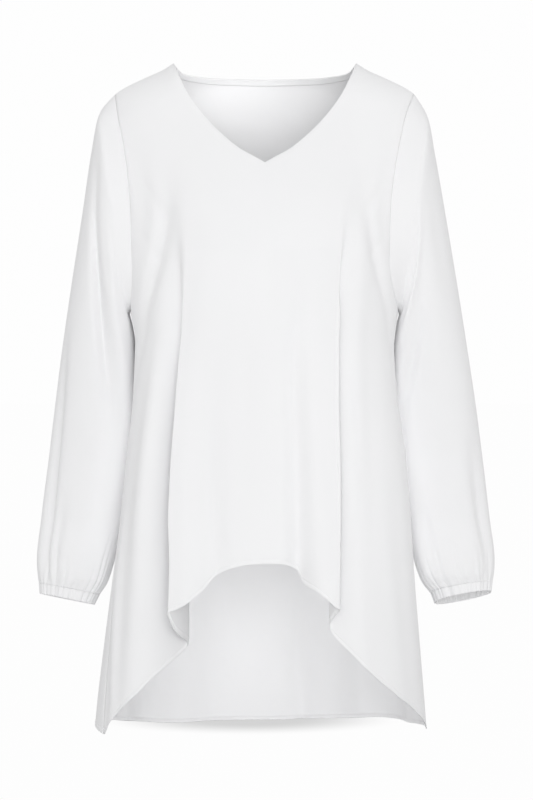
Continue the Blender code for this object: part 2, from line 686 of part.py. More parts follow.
def sleeve_surface(side, turns, along):
    """Points of a sleeve at turns round it (rows run along it, 0 armhole, 1 elastic)."""
    loop, normal = armhole_loop(side, turns)
    first = ring_points(side, SLEEVE_RINGS[side][0], turns)
    ahead = np.roll(loop, -1, axis=0) - np.roll(loop, 1, axis=0)
    out = np.cross(normal, ahead) * SIDES[side]
    out /= np.linalg.norm(out, axis=1, keepdims=True)
    lift = (UNDERARM_LIFT * (1 - np.cos(turns)) / 2)[:, None]
    start = loop + out * ARMHOLE_GAP + normal * lift
    rings = [start, first] + [ring_points(side, ring, turns) for ring in SLEEVE_RINGS[side][1:]]
    rings = np.stack(rings)
    middles = rings.mean(axis=1)
    steps = np.linalg.norm(np.diff(rings, axis=0), axis=2).mean(axis=1)
    keys = np.concatenate([[0], np.cumsum(steps)]) / steps.sum()
    points = curve(keys, rings, along)
    radial = points - curve(keys, middles, along)[:, None, :]
    radial /= np.linalg.norm(radial, axis=2, keepdims=True)
    return points - radial * sleeve_depth(side, turns, along)[..., None]


def sleeve_depth(side, turns, along):
    """How far the sleeve's folds and gathers sink it below its rings."""
    turns, along = np.meshgrid(turns, along)
    depth = np.zeros(turns.shape)
    for fold in SLEEVE_FOLDS[side]:
        away = (np.degrees(turns) - read(fold, "share", "angle", along) + 180) % 360 - 180
        place = away / read(fold, "share", "width", along)
        depth += read(fold, "share", "depth", along) * np.exp(-place**2)
    gather = eased((along - 1 + GATHER_REACH) / GATHER_REACH) ** 1.5
    return depth + GATHER_DEPTH * gather * np.cos(GATHERS * turns)


def sleeve_object(side):
    turns = np.arange(SLEEVE_COLUMNS) * 2 * pi / SLEEVE_COLUMNS
    share = np.linspace(0, 1, SLEEVE_ROWS + 1)
    along = 1 - (1 - share) ** SLEEVE_ROW_EASE
    return grid_object("sleeve_" + side, sleeve_surface(side, turns, along), WALL, side == "left", True)


def casing_object(side):
    """The narrow casing that holds the elastic, below the end of the sleeve."""
    turns = np.arange(SLEEVE_COLUMNS) * 2 * pi / SLEEVE_COLUMNS
    top = sleeve_surface(side, turns, np.array([1.0]))[0]
    end = ring_points(side, CASING_ENDS[side], turns)
    middle = end.mean(axis=0)
    radial = (end - middle) / np.linalg.norm(end - middle, axis=1, keepdims=True)
    end = end - radial * (GATHER_DEPTH * CASING_GATHER * np.cos(GATHERS * turns))[:, None]
    down = (end - top) / np.linalg.norm(end - top, axis=1, keepdims=True)
    rows = np.stack([top + down * CUFF_GAP, end])
    return grid_object("cuff_" + side, rows, CASING_WALL, side == "left", True)


def binding_object():
    """The turned binding inside the back neck, laid on the back panel's inner face."""
    columns = round(BACK_COLUMNS[0] * NECK_SHARE)
    x = np.linspace(-NECK_HALF_WIDTH, NECK_HALF_WIDTH, columns + 1)
    x[0], x[-1] = x[0] * BINDING_REACH, x[-1] * BINDING_REACH
    z = read(BACK_NECKLINE, "x", "z", np.abs(x))
    gap = BINDING_GAP + (BINDING_END_GAP - BINDING_GAP) * eased(np.abs(x) / x[-1] * 2 - 1)
    offset = (WALL + BINDING_WALL) / 2 + gap[:, None]
    rows = []
    for _ in range(BINDING_ROWS + 1):  # walk down the panel's surface from its neck edge
        angle = np.where(x < 0, -pi, pi) - angle_at(x, z)
        points, normal = body_point(angle, z), body_normal(angle, z)
        rows.append(points - normal * offset)
        away = np.cross(normal, np.gradient(points, axis=0))
        away /= np.linalg.norm(away, axis=1, keepdims=True)
        place = points + away * BINDING_HEIGHT / BINDING_ROWS
        x, z = place[:, 0], place[:, 2]
    return grid_object("back_neck_binding", np.stack(rows), BINDING_WALL, True)


def cloth_material(name, colour, roughness):
    material = bpy.data.materials.new(name)
    material.use_nodes = True
    shader = material.node_tree.nodes["Principled BSDF"]
    shader.inputs["Base Color"].default_value = (*colour, 1)
    shader.inputs["Roughness"].default_value = roughness
    shader.inputs["Metallic"].default_value = 0
    return material


def clear_scene():
    for item in list(bpy.data.objects):
        bpy.data.objects.remove(item, do_unlink=True)
    collection = bpy.data.collections.new(GARMENT)
    bpy.context.scene.collection.children.link(collection)


def main():
    clear_scene()
    pieces = [
        panel_object("front", True, FRONT_COLUMNS),
        panel_object("back", False, BACK_COLUMNS),
        binding_object(),
    ]
    for side in SIDES:
        pieces += [sleeve_object(side), casing_object(side)]
    for piece in pieces:
        trim = piece.name.startswith(("cuff", "back_neck"))
        roughness = 0.92 if trim else 0.88
        piece.data.materials.append(cloth_material(piece.name + "_cloth", (0.93, 0.93, 0.94), roughness))


main()
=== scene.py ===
# White V-neck blouse with full sleeves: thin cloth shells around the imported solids.
# Metres, +Z up, the front towards -Y, the origin between the two neck points.
from math import pi
import bpy
import numpy as np
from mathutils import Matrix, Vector
from mathutils.kdtree import KDTree


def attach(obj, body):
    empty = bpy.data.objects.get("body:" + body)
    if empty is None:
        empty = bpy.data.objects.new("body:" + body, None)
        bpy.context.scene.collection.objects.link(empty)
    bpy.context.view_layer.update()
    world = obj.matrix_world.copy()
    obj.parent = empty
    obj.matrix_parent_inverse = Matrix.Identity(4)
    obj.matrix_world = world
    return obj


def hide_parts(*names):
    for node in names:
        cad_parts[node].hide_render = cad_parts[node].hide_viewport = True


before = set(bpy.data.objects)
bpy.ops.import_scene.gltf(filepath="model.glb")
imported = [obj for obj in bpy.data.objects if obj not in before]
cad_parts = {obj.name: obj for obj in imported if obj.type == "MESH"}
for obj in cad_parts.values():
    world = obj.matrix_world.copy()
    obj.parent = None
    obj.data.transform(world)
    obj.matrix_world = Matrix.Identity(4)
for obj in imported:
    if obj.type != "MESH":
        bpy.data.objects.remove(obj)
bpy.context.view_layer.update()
print("frame loaded")


def columns(names, *rows):  # rows sorted by their first column
    return dict(zip(names.split(), np.array(sorted(rows), float).T))


def curve(keys, values, at):  # smooth, without overshoot
    at = np.clip(np.asarray(at, float), keys[0], keys[-1])
    steps = np.diff(keys).reshape((-1,) + (1,) * (values.ndim - 1))
    slopes = np.diff(values, axis=0) / steps
    before, after = slopes[:-1], slopes[1:]
    weightBefore, weightAfter = 2 * steps[1:] + steps[:-1], steps[1:] + 2 * steps[:-1]
    sameWay = before * after > 0
    flow = weightBefore / np.where(sameWay, before, 1) + weightAfter / np.where(sameWay, after, 1)
    middle = np.where(sameWay, (weightBefore + weightAfter) / np.where(sameWay, flow, 1), 0)
    tangents = np.concatenate([slopes[:1], middle, slopes[-1:]])
    index = np.clip(np.searchsorted(keys, at) - 1, 0, len(keys) - 2)
    share = (at - keys[index]) / np.diff(keys)[index]
    share = share.reshape(share.shape + (1,) * (values.ndim - 1))
    rise = share**2 * (3 - 2 * share)
    leaving = share * (1 - share) ** 2 * steps[index] * tangents[index]
    arriving = share**2 * (share - 1) * steps[index] * tangents[index + 1]
    return values[index] + rise * (values[index + 1] - values[index]) + leaving + arriving


def read(table, column, at):
    return curve(next(iter(table.values())), table[column], at)


def eased(share):
    share = np.clip(share, 0, 1)
    return share**2 * (3 - 2 * share)


def bell(x):
    return np.exp(-x * x)


# the body's form, as in its solids but for small changes to a few folds
body = {
    "sections": columns(  # forward: how far the sides stand forward, clear of the sleeves
        "z left right front back seamLeft seamRight forward",
        (0.020, 0.1900, 0.1900, 0.044, 0.060, 90, 90, 0),
        (-0.060, 0.1900, 0.1880, 0.056, 0.083, 90, 90, 0),
        (-0.120, 0.1830, 0.1790, 0.080, 0.102, 90, 90, 0),
        (-0.180, 0.1740, 0.1700, 0.106, 0.110, 90, 90, 0),
        (-0.240, 0.1690, 0.1660, 0.122, 0.111, 90, 90, 0),
        (-0.300, 0.1635, 0.1620, 0.128, 0.111, 90, 90, 0),
        (-0.340, 0.1570, 0.1560, 0.130, 0.112, 89, 90, 0.008),
        (-0.400, 0.1590, 0.1590, 0.132, 0.114, 87, 90, 0.026),
        (-0.480, 0.1665, 0.1690, 0.138, 0.119, 84, 89, 0.034),
        (-0.560, 0.1745, 0.1755, 0.146, 0.127, 80, 88, 0.034),
        (-0.620, 0.1825, 0.1795, 0.152, 0.134, 77, 88, 0.028),
        (-0.700, 0.1935, 0.1865, 0.158, 0.143, 73, 87, 0.014),
        (-0.780, 0.2035, 0.1935, 0.163, 0.151, 70, 86, 0.004),
        (-0.840, 0.2090, 0.1980, 0.166, 0.156, 68, 86, 0),
    ),
    "fullness": 0.75,  # 1 is an oval, and less is squarer
    "roll": 0.045,  # height over which the cloth rounds over the shoulder
    "neckHalfWidth": 0.1112,
    "neckShare": 2 / 3,  # of the top's columns, and the shoulders have the rest
    "notchZ": -0.235,  # where the armhole turns under the arm
    "underarmZ": -0.300,
    "notchLeft": 0.79,  # share of half the panel's width
    "notchRight": 0.71,
    "shoulder": columns(
        "x z", (0.0, 0.0280), (0.060, 0.0210), (0.090, 0.0095), (0.1112, 0.0), (0.123, -0.0075),
        (0.146, -0.0180), (0.171, -0.0300), (0.185, -0.0390), (0.195, -0.0480),
    ),
    "frontNeck": columns(
        "x z", (0.0, -0.1274), (0.012, -0.1204), (0.030, -0.1100), (0.0478, -0.0952),
        (0.0635, -0.0797), (0.0785, -0.0618), (0.0925, -0.0415), (0.1025, -0.0215), (0.1112, 0.0),
    ),
    "backNeck": columns(
        "x z", (0.0, -0.0112), (0.060, -0.0102), (0.085, -0.0088), (0.101, -0.0068), (0.1112, 0.0),
    ),
    "armhole": columns(
        "z left right", (-0.038, 0.1830, 0.1815), (-0.070, 0.1780, 0.1695),
        (-0.095, 0.1725, 0.1640), (-0.130, 0.1670, 0.1575), (-0.180, 0.1620, 0.1515),
        (-0.235, 0.1602, 0.1493),
    ),
    "frontHem": columns(  # angle from the centre front, height
        "angle z", (-68, -0.8075), (-57.5, -0.7800), (-50, -0.7560), (-46.5, -0.7355),
        (-43, -0.7130), (-40, -0.6995), (-37.5, -0.6920), (-35, -0.6820), (-33, -0.6680),
        (-31, -0.6590), (-27, -0.6550), (-24.5, -0.6490), (-22, -0.6380), (-20.5, -0.6310),
        (-19.4, -0.6240), (-18.2, -0.6170), (-16, -0.6115), (-12, -0.6060), (-6.5, -0.6023),
        (0.5, -0.6007), (6.5, -0.6014), (10.4, -0.6055), (12.8, -0.6110), (14.2, -0.6240),
        (17, -0.6325), (19, -0.6420), (20.5, -0.6500), (25.5, -0.6580), (27, -0.6660),
        (29, -0.6740), (32.5, -0.6930), (38, -0.7220), (43, -0.7360), (50, -0.7505),
        (56, -0.7620), (64, -0.7730), (71, -0.7845), (86, -0.8080),
    ),
    "backHem": columns(  # angle from the centre back, height
        "angle z", (-112, -0.8075), (-90, -0.8020), (-60, -0.8120), (-36, -0.8187), (0, -0.8190),
        (28, -0.8150), (48, -0.8100), (72, -0.8110), (94, -0.8080),
    ),
    "laps": [  # cloth that doubles over itself: outward side, rise of the edge, drop beyond it
        dict(outward=-1, path=columns(
            "z angle width lap rise drop",
            (-0.165, -35, 0.018, 0, 0, 0), (-0.21, -35, 0.018, 0.003, 0.001, 0.006),
            (-0.29, -36.2, 0.018, 0.009, 0.002, 0.012), (-0.35, -38.2, 0.017, 0.014, 0.003, 0.016),
            (-0.4, -38.6, 0.016, 0.0165, 0.004, 0.022), (-0.46, -38.4, 0.016, 0.018, 0.005, 0.0265),
            (-0.54, -37.8, 0.017, 0.019, 0.007, 0.031), (-0.61, -35.4, 0.019, 0.019, 0.009, 0.035),
            (-0.67, -34.3, 0.019, 0.019, 0.01, 0.036), (-0.8, -33.4, 0.019, 0.0195, 0.011, 0.035),
        )),
        dict(outward=1, path=columns(
            "z angle width lap rise drop",
            (-0.165, 33, 0.013, 0, 0, 0), (-0.21, 33, 0.013, 0.004, 0, 0.003),
            (-0.29, 31.8, 0.012, 0.01, 0, 0.006), (-0.33, 32.4, 0.0115, 0.0125, 0, 0.008),
            (-0.46, 30.2, 0.0115, 0.0135, 0, 0.009), (-0.6, 27.9, 0.013, 0.014, 0.003, 0.011),
            (-0.665, 26, 0.014, 0.0147, 0.009, 0.014), (-0.8, 24.6, 0.014, 0.015, 0.011, 0.014),
        )),
    ],
    # troughs, or ridges where the depth is negative
    "folds": [columns("z angle width depth", *rows) for rows in (
        # from the chest to the sides, and beside both laps
        ((-0.11, -41, 0.016, 0), (-0.17, -42.5, 0.015, 0.0045), (-0.208, -46.8, 0.012, 0.0075),
         (-0.267, -55, 0.012, 0.0075), (-0.326, -66, 0.013, 0.0028), (-0.392, -80, 0.014, 0.0016),
         (-0.46, -88, 0.014, 0)),
        ((-0.165, -41, 0.014, 0), (-0.203, -42.1, 0.013, -0.003), (-0.292, -47.3, 0.015, -0.0045),
         (-0.374, -53, 0.017, -0.0065), (-0.457, -55.5, 0.018, -0.008), (-0.54, -56, 0.019, -0.008),
         (-0.646, -53.5, 0.02, -0.006), (-0.78, -53, 0.02, -0.005)),
        ((-0.11, 43, 0.016, 0), (-0.17, 44.3, 0.015, 0.004), (-0.206, 48.4, 0.011, 0.005),
         (-0.261, 56, 0.011, 0.0045), (-0.308, 66, 0.012, 0.0024), (-0.361, 80, 0.014, 0.0012),
         (-0.43, 86, 0.014, 0)),
        ((-0.17, 43, 0.013, 0), (-0.2, 43.4, 0.013, -0.002), (-0.292, 42.4, 0.014, -0.004),
         (-0.375, 41.9, 0.015, -0.005), (-0.539, 37.5, 0.016, -0.005), (-0.78, 35, 0.018, -0.003)),
        # down the middle of the front, then out to the left and the right
        ((-0.26, 12.5, 0.009, 0), (-0.3, 12.9, 0.009, 0.002), (-0.375, 12.6, 0.01, 0.005),
         (-0.457, 12.7, 0.01, 0.0088), (-0.608, 12.4, 0.01, 0.0125)),
        ((-0.3, 19, 0.009, 0), (-0.375, 19, 0.009, -0.0025), (-0.6, 18.6, 0.009, -0.0045)),
        ((-0.34, -24, 0.012, 0), (-0.41, -23.5, 0.013, 0.003), (-0.504, -21.5, 0.013, 0.006),
         (-0.597, -19, 0.012, 0.009), (-0.66, -17.5, 0.012, 0.009)),
        ((-0.3, -42, 0.01, 0), (-0.4, -43.5, 0.01, 0.004), (-0.54, -43, 0.011, 0.01),
         (-0.61, -41.8, 0.011, 0.013), (-0.7, -40.8, 0.011, 0.013)),
        ((-0.52, -74, 0.011, 0), (-0.6, -72, 0.011, -0.003), (-0.69, -66.5, 0.011, -0.0045),
         (-0.77, -61.5, 0.011, -0.0045)),
        ((-0.46, 60, 0.02, 0), (-0.6, 63, 0.02, 0.002), (-0.78, 66, 0.02, 0.002)),
        # at the sides of the chest
        ((-0.09, -57, 0.017, 0), (-0.14, -56.5, 0.016, 0.003), (-0.185, -57, 0.015, 0.0038),
         (-0.235, -60, 0.014, 0.0014), (-0.28, -62, 0.014, 0)),
        ((-0.09, 56, 0.017, 0), (-0.14, 56, 0.016, 0.0022), (-0.185, 56.5, 0.015, 0.0028),
         (-0.235, 60, 0.014, 0.001), (-0.28, 62, 0.014, 0)),
        # down the back
        ((-0.28, 168, 0.016, 0), (-0.45, 168, 0.016, -0.005), (-0.78, 167, 0.016, -0.008)),
        ((-0.33, 138, 0.025, 0), (-0.5, 139, 0.026, 0.007), (-0.8, 140, 0.026, 0.012)),
        ((-0.42, 112, 0.023, 0), (-0.6, 111, 0.023, 0.004), (-0.8, 110, 0.023, 0.007)),
        ((-0.26, -150, 0.027, 0), (-0.45, -149, 0.028, 0.007), (-0.78, -148, 0.028, 0.012)),
        ((-0.42, -120, 0.025, 0), (-0.6, -119, 0.025, 0.005), (-0.8, -118, 0.025, 0.009)),
    )],
}


def bySide(across, table, column, at):
    return np.where(across < 0, read(table, column + "Left", at), read(table, column + "Right", at))


def oval(angle, z):
    sections = body["sections"]
    left, right = read(sections, "left", z), read(sections, "right", z)
    sine, cosine = np.sin(angle), np.cos(angle)
    x = (left + right) / 2 * sine + (right - left) / 2 * sine**2
    drop = read(body["shoulder"], "z", np.abs(x)) - z
    rounding = np.sqrt(1 - (1 - np.clip(drop / body["roll"], 0, 1)) ** 2)
    reach = np.where(cosine > 0, -read(sections, "front", z), read(sections, "back", z))
    y = reach * np.abs(cosine) ** body["fullness"] * rounding
    return x, y - read(sections, "forward", z) * np.where(cosine > 0, sine**2, sine**8)


def foldAway(angle, z, fold):  # cloth between a point and the fold's line, in fold widths
    away = (angle - read(fold, "angle", z) * pi / 180 + pi) % (2 * pi) - pi
    radius = sum(read(body["sections"], side, z) for side in ("left", "right", "front", "back")) / 4
    return away * radius / read(fold, "width", z), radius


def bodyPoint(angle, z):
    angle, z = np.broadcast_arrays(np.asarray(angle, float), np.asarray(z, float))
    turned, lift = angle.copy(), np.zeros(angle.shape)
    for lap in body["laps"]:
        path, outward = lap["path"], lap["outward"]
        place, radius = foldAway(angle, z, path)
        swing = outward * place * np.exp((1 - place**2) / 2)
        rise, drop = read(path, "rise", z), read(path, "drop", z)
        turned -= outward * read(path, "lap", z) * swing / radius
        lift -= (drop + rise) / 2 * swing + (drop - rise) / 2 * swing**2
    for fold in body["folds"]:
        lift -= read(fold, "depth", z) * bell(foldAway(angle, z, fold)[0])
    x, y = oval(turned, z)
    turn = 0.01  # to either side, for the way along the body
    aheadX, aheadY = oval(turned + turn, z)
    behindX, behindY = oval(turned - turn, z)
    alongX, alongY = aheadX - behindX, aheadY - behindY
    length = np.hypot(alongX, alongY)
    return np.stack([x + lift * alongY / length, y - lift * alongX / length, z], axis=-1)


def bodyNormal(angle, z):  # outward, taken just below the point, because the shoulder is a crest
    turn, step = 0.002, 0.0003
    across = bodyPoint(angle + turn, z - 2 * step) - bodyPoint(angle - turn, z - 2 * step)
    up = bodyPoint(angle, z - step) - bodyPoint(angle, z - 3 * step)
    normal = np.cross(across, up)
    return normal / np.linalg.norm(normal, axis=-1, keepdims=True)


def panelAngle(isFront, across, z):
    seam = bySide(across, body["sections"], "seam", z) * pi / 180
    return across * seam if isFront else np.where(across < 0, -pi, pi) - across * (pi - seam)


def notchReach(across):
    return np.where(across < 0, body["notchLeft"], body["notchRight"])


def lowerPlace(isFront, across, down):
    firstGuess, rounds = -0.7, 8
    hemZ = np.full(np.shape(across), firstGuess)
    for _ in range(rounds):  # the seam's angle and the hem's height depend on each other
        seam = bySide(across, body["sections"], "seam", hemZ)
        hem = body["frontHem"] if isFront else body["backHem"]
        hemZ = read(hem, "z", across * (seam if isFront else 180 - seam))
    notch = notchReach(across)
    past = np.clip((np.abs(across) - notch) / (1 - notch), 0, 1)
    topZ = body["notchZ"] - (body["notchZ"] - body["underarmZ"]) * np.sqrt(1 - (1 - past) ** 2)
    z = topZ + (hemZ - topZ) * down
    return panelAngle(isFront, across, z), z


def angleAt(x, z):
    left, right = read(body["sections"], "left", z), read(body["sections"], "right", z)
    middle = (left + right) / 2
    sine = 2 * x / (middle + np.sqrt(middle**2 + 2 * (right - left) * x))
    return np.arcsin(np.clip(sine, -1, 1))


def upperPlace(isFront, across, down):
    side = np.where(across < 0, -1, 1)
    share = np.abs(across) / notchReach(across)
    onShoulder = np.clip((share - body["neckShare"]) / (1 - body["neckShare"]), 0, 1)
    edge = body["armhole"]
    neck, notchZ = body["neckHalfWidth"], body["notchZ"]
    tipX = np.where(across < 0, edge["left"][-1], edge["right"][-1])
    tipZ = read(body["shoulder"], "z", tipX)
    topX = neck * np.clip(share / body["neckShare"], 0, 1) + (tipX - neck) * onShoulder
    neckZ = read(body["frontNeck"] if isFront else body["backNeck"], "z", topX)
    topZ = np.where(onShoulder > 0, read(body["shoulder"], "z", topX), neckZ)

    def edgeX(z):
        return np.where(across < 0, read(edge, "left", z), read(edge, "right", z))

    bow = edgeX(tipZ + (notchZ - tipZ) * down) - tipX - (edgeX(notchZ) - tipX) * down
    notchX = side * oval(across * pi / 2, notchZ)[0]
    x = side * (topX + (notchX - topX) * down + share**4 * bow)
    z = topZ + (notchZ - topZ) * down
    angle = angleAt(x, z)
    return (angle if isFront else side * pi - angle), z


def distances(points, path):  # from each point to a line of close points
    tree = KDTree(len(path))
    for index, place in enumerate(path.tolist()):
        tree.insert(place, index)
    tree.balance()
    nearest = [tree.find(place)[2] for place in points.reshape(-1, 3).tolist()]
    return np.array(nearest).reshape(points.shape[:-1])


def along(points, axis):  # running length along rows or columns
    step = np.linalg.norm(np.diff(points, axis=axis), axis=-1)
    start = np.zeros_like(np.take(step, [0], axis=axis))
    return np.concatenate([start, np.cumsum(step, axis=axis)], axis=axis)


def running(path):  # running length along one line
    return along(path[:, None], 0)[:, 0]


def gridNormals(points, closed, flip):
    if closed:
        across = np.roll(points, -1, axis=1) - np.roll(points, 1, axis=1)
    else:
        across = np.gradient(points, axis=1)
    down = np.gradient(points, axis=0)
    normal = np.cross(down, across) * (-1 if flip else 1)
    tiny = 1e-9  # where two points meet
    return normal / np.maximum(np.linalg.norm(normal, axis=-1, keepdims=True), tiny)


def gridMesh(name, points, closed=False, flip=False, used=None):
    rows, count = points.shape[:2]
    index = np.arange(rows * count).reshape(rows, count)
    uv = np.stack([along(points, 1), along(points, 0)], axis=-1)
    if closed:
        index = np.concatenate([index, index[:, :1]], axis=1)
        lastUv = uv[:, -1:, :].copy()
        lastUv[:, 0, 0] += np.linalg.norm(points[:, -1] - points[:, 0], axis=-1)
        uv = np.concatenate([uv, lastUv], axis=1)
    corner = [np.s_[:-1, :-1], np.s_[:-1, 1:], np.s_[1:, 1:], np.s_[1:, :-1]]
    if not flip:
        corner = corner[::-1]
    faces = np.stack([index[c] for c in corner], axis=-1).reshape(-1, 4)
    faceUv = np.stack([uv[c] for c in corner], axis=-2).reshape(-1, 4, 2)
    if used is not None:
        keep = used.reshape(-1)[faces].all(axis=1)
        faces, faceUv = faces[keep], faceUv[keep]
    inUse, faces = np.unique(faces, return_inverse=True)
    mesh = bpy.data.meshes.new(name)
    mesh.from_pydata(points.reshape(-1, 3)[inUse].tolist(), [], faces.reshape(-1, 4).tolist())
    layer = mesh.uv_layers.new(name="cloth")
    layer.data.foreach_set("uv", faceUv.reshape(-1))
    mesh.shade_smooth()
    piece = bpy.data.objects.new(name, mesh)
    bpy.context.scene.collection.objects.link(piece)
    return piece


def creases(arc, z, table):  # soft troughs that fade in and out
    sink = np.zeros(np.broadcast(arc, z).shape)
    end = 0.3  # share of a crease over which it fades
    for arc0, z0, arc1, z1, bow, width, depth in table:
        dx, dz = arc1 - arc0, z1 - z0
        length = np.hypot(dx, dz)
        run = ((arc - arc0) * dx + (z - z0) * dz) / length**2
        off = ((arc - arc0) * dz - (z - z0) * dx) / length + bow * np.sin(np.clip(run, 0, 1) * pi)
        fade = eased(np.clip(run, 0, 1) / end) * eased(np.clip(1 - run, 0, 1) / end)
        sink += depth * fade * bell(off / width)
    return sink


crepe = {
    "colour": (0.945, 0.945, 0.952), "shade": (0.930, 0.930, 0.938), "tints": (0.3, 0.7),
    "roughness": 0.86, "specular": 0.25, "sheen": 0.15, "sheenRoughness": 0.6,
    "pitch": 0.00055, "grain": 0.0011, "bump": 0.00010, "bumpStrength": 0.6,
    "weaveHeight": 0.35, "driftScale": 9, "detail": 2,  # the same in every cloth
}


def feed(tree, value, socket):  # value is a number, a colour or another socket
    if isinstance(value, bpy.types.NodeSocket):
        tree.links.new(value, socket)
    else:
        socket.default_value = value


def mathNode(tree, operation, *values):
    node = tree.nodes.new("ShaderNodeMath")
    node.operation = operation
    for value, socket in zip(values, node.inputs):
        feed(tree, value, socket)
    return node.outputs[0]


def clothGroup():  # plain weave with crepe's uneven grain, on a map in metres
    group = bpy.data.node_groups.new("crepeCloth", "ShaderNodeTree")
    face = group.interface
    for name, kind in (("Vector", "Vector"), ("Pitch", "Float"), ("Grain", "Float")):
        face.new_socket(name, in_out="INPUT", socket_type="NodeSocket" + kind)
    for name in ("Height", "Tint"):
        face.new_socket(name, in_out="OUTPUT", socket_type="NodeSocketFloat")
    entry, leave = group.nodes.new("NodeGroupInput"), group.nodes.new("NodeGroupOutput")
    split = group.nodes.new("ShaderNodeSeparateXYZ")
    feed(group, entry.outputs["Vector"], split.inputs[0])

    def yarn(axis):
        turns = mathNode(group, "DIVIDE", split.outputs[axis], entry.outputs["Pitch"])
        return mathNode(group, "SINE", mathNode(group, "MULTIPLY", turns, 2 * pi))

    def noise(scale):
        texture = group.nodes.new("ShaderNodeTexNoise")
        feed(group, entry.outputs["Vector"], texture.inputs["Vector"])
        feed(group, scale, texture.inputs["Scale"])
        feed(group, crepe["detail"], texture.inputs["Detail"])
        return texture.outputs["Fac"]

    pebble = noise(mathNode(group, "DIVIDE", 1, entry.outputs["Grain"]))
    weave = mathNode(group, "MULTIPLY", yarn("X"), yarn("Y"))
    height = mathNode(group, "MULTIPLY_ADD", weave, crepe["weaveHeight"], pebble)
    feed(group, height, leave.inputs["Height"])
    halfDrift = mathNode(group, "MULTIPLY", noise(crepe["driftScale"]), 0.5)
    feed(group, mathNode(group, "MULTIPLY_ADD", pebble, 0.5, halfDrift), leave.inputs["Tint"])
    return group


clothNodes = clothGroup()


def crepeMaterial(name, look, useMap=True):
    material = bpy.data.materials.new(name)
    material.use_nodes = True
    tree = material.node_tree
    shader = tree.nodes["Principled BSDF"]
    place = tree.nodes.new("ShaderNodeUVMap" if useMap else "ShaderNodeTexCoord")
    if useMap:
        place.uv_map = "cloth"
    group = tree.nodes.new("ShaderNodeGroup")
    group.node_tree = clothNodes
    feed(tree, look["pitch"], group.inputs["Pitch"])
    feed(tree, look["grain"], group.inputs["Grain"])
    feed(tree, place.outputs["UV" if useMap else "Object"], group.inputs["Vector"])
    ramp = tree.nodes.new("ShaderNodeValToRGB")
    low, high = ramp.color_ramp.elements
    low.position, high.position = look["tints"]
    low.color, high.color = (*look["shade"], 1), (*look["colour"], 1)
    bump = tree.nodes.new("ShaderNodeBump")
    feed(tree, look["bump"], bump.inputs["Distance"])
    feed(tree, look["bumpStrength"], bump.inputs["Strength"])
    feed(tree, group.outputs["Tint"], ramp.inputs["Fac"])
    feed(tree, ramp.outputs["Color"], shader.inputs["Base Color"])
    feed(tree, group.outputs["Height"], bump.inputs["Height"])
    feed(tree, bump.outputs["Normal"], shader.inputs["Normal"])
    feed(tree, look["roughness"], shader.inputs["Roughness"])
    feed(tree, look["specular"], shader.inputs["Specular IOR Level"])
    feed(tree, look["sheen"], shader.inputs["Sheen Weight"])
    feed(tree, look["sheenRoughness"], shader.inputs["Sheen Roughness"])
    return material


crepeCloth = crepeMaterial("crepeCloth", crepe)
print("cloth material made")


def clothShell(name, points, wall, **grid):
    piece = gridMesh(name, points, **grid)
    solid = piece.modifiers.new("wall", "SOLIDIFY")
    solid.thickness, solid.offset = wall, 0  # half the wall to either side
    piece.data.materials.append(crepeCloth)
    return piece


panel = {
    "wall": 0.0009,
    "frontColumns": (150, 24),  # between the notches, and from each notch to its side seam
    "backColumns": (140, 24),
    "upperRows": 84,
    "lowerRows": 150,
    "hemRows": 14,
    "hemShare": 0.024,  # the last share of the lower part, with close rows
    "columnPower": 1.6,  # columns are closer beside the notches
    "topPower": 2,  # rows are closer at the top
    "hemTurn": 0.0050,  # hem edge to stitch line
    "hemSwell": 0.00035,  # the turned hem stands out, and its edge is eased over hemStep
    "hemStep": 0.001,
    "stitchSink": 0.0004,
    "stitchWidth": 0.0012,
    "seamSink": 0.0005,
    "seamWidth": 0.0045,
    "sideShare": 0.6,  # of the seam's sink, at the sides and on the shoulders
    "shoulderShare": 0.5,
    "edgeRoll": 0.0006,  # at the neck
    "edgeWidth": 0.0030,
    "creaseRadius": 0.15,  # the body's, for the arc of a crease
}
# arc and height at both ends (arc runs round the body from the centre front), bow, width, depth
frontCreases = [
    (-0.176, -0.200, -0.124, -0.258, 0.004, 0.0070, 0.0010),
    (-0.150, -0.142, -0.116, -0.204, 0.003, 0.0085, 0.0014),
    (0.166, -0.206, 0.122, -0.252, -0.003, 0.0065, 0.0009),
    (0.146, -0.150, 0.118, -0.198, -0.004, 0.0080, 0.0011),
    (-0.020, -0.300, -0.032, -0.560, 0.003, 0.0120, 0.0012),
    (0.008, -0.190, 0.004, -0.330, -0.002, 0.0090, 0.0008),
]
backCreases = [
    (0.292, -0.150, 0.392, -0.236, 0.006, 0.0085, 0.0014),
    (-0.300, -0.146, -0.408, -0.222, -0.005, 0.0080, 0.0012),
    (0.268, -0.262, 0.352, -0.352, 0.004, 0.0100, 0.0013),
    (-0.264, -0.250, -0.338, -0.366, -0.006, 0.0095, 0.0015),
    (0.436, -0.300, 0.444, -0.520, 0.004, 0.0110, 0.0012),
    (-0.420, -0.270, -0.428, -0.440, 0.003, 0.0090, 0.0009),
    (-0.380, -0.560, -0.386, -0.740, 0.004, 0.0100, 0.0012),
]


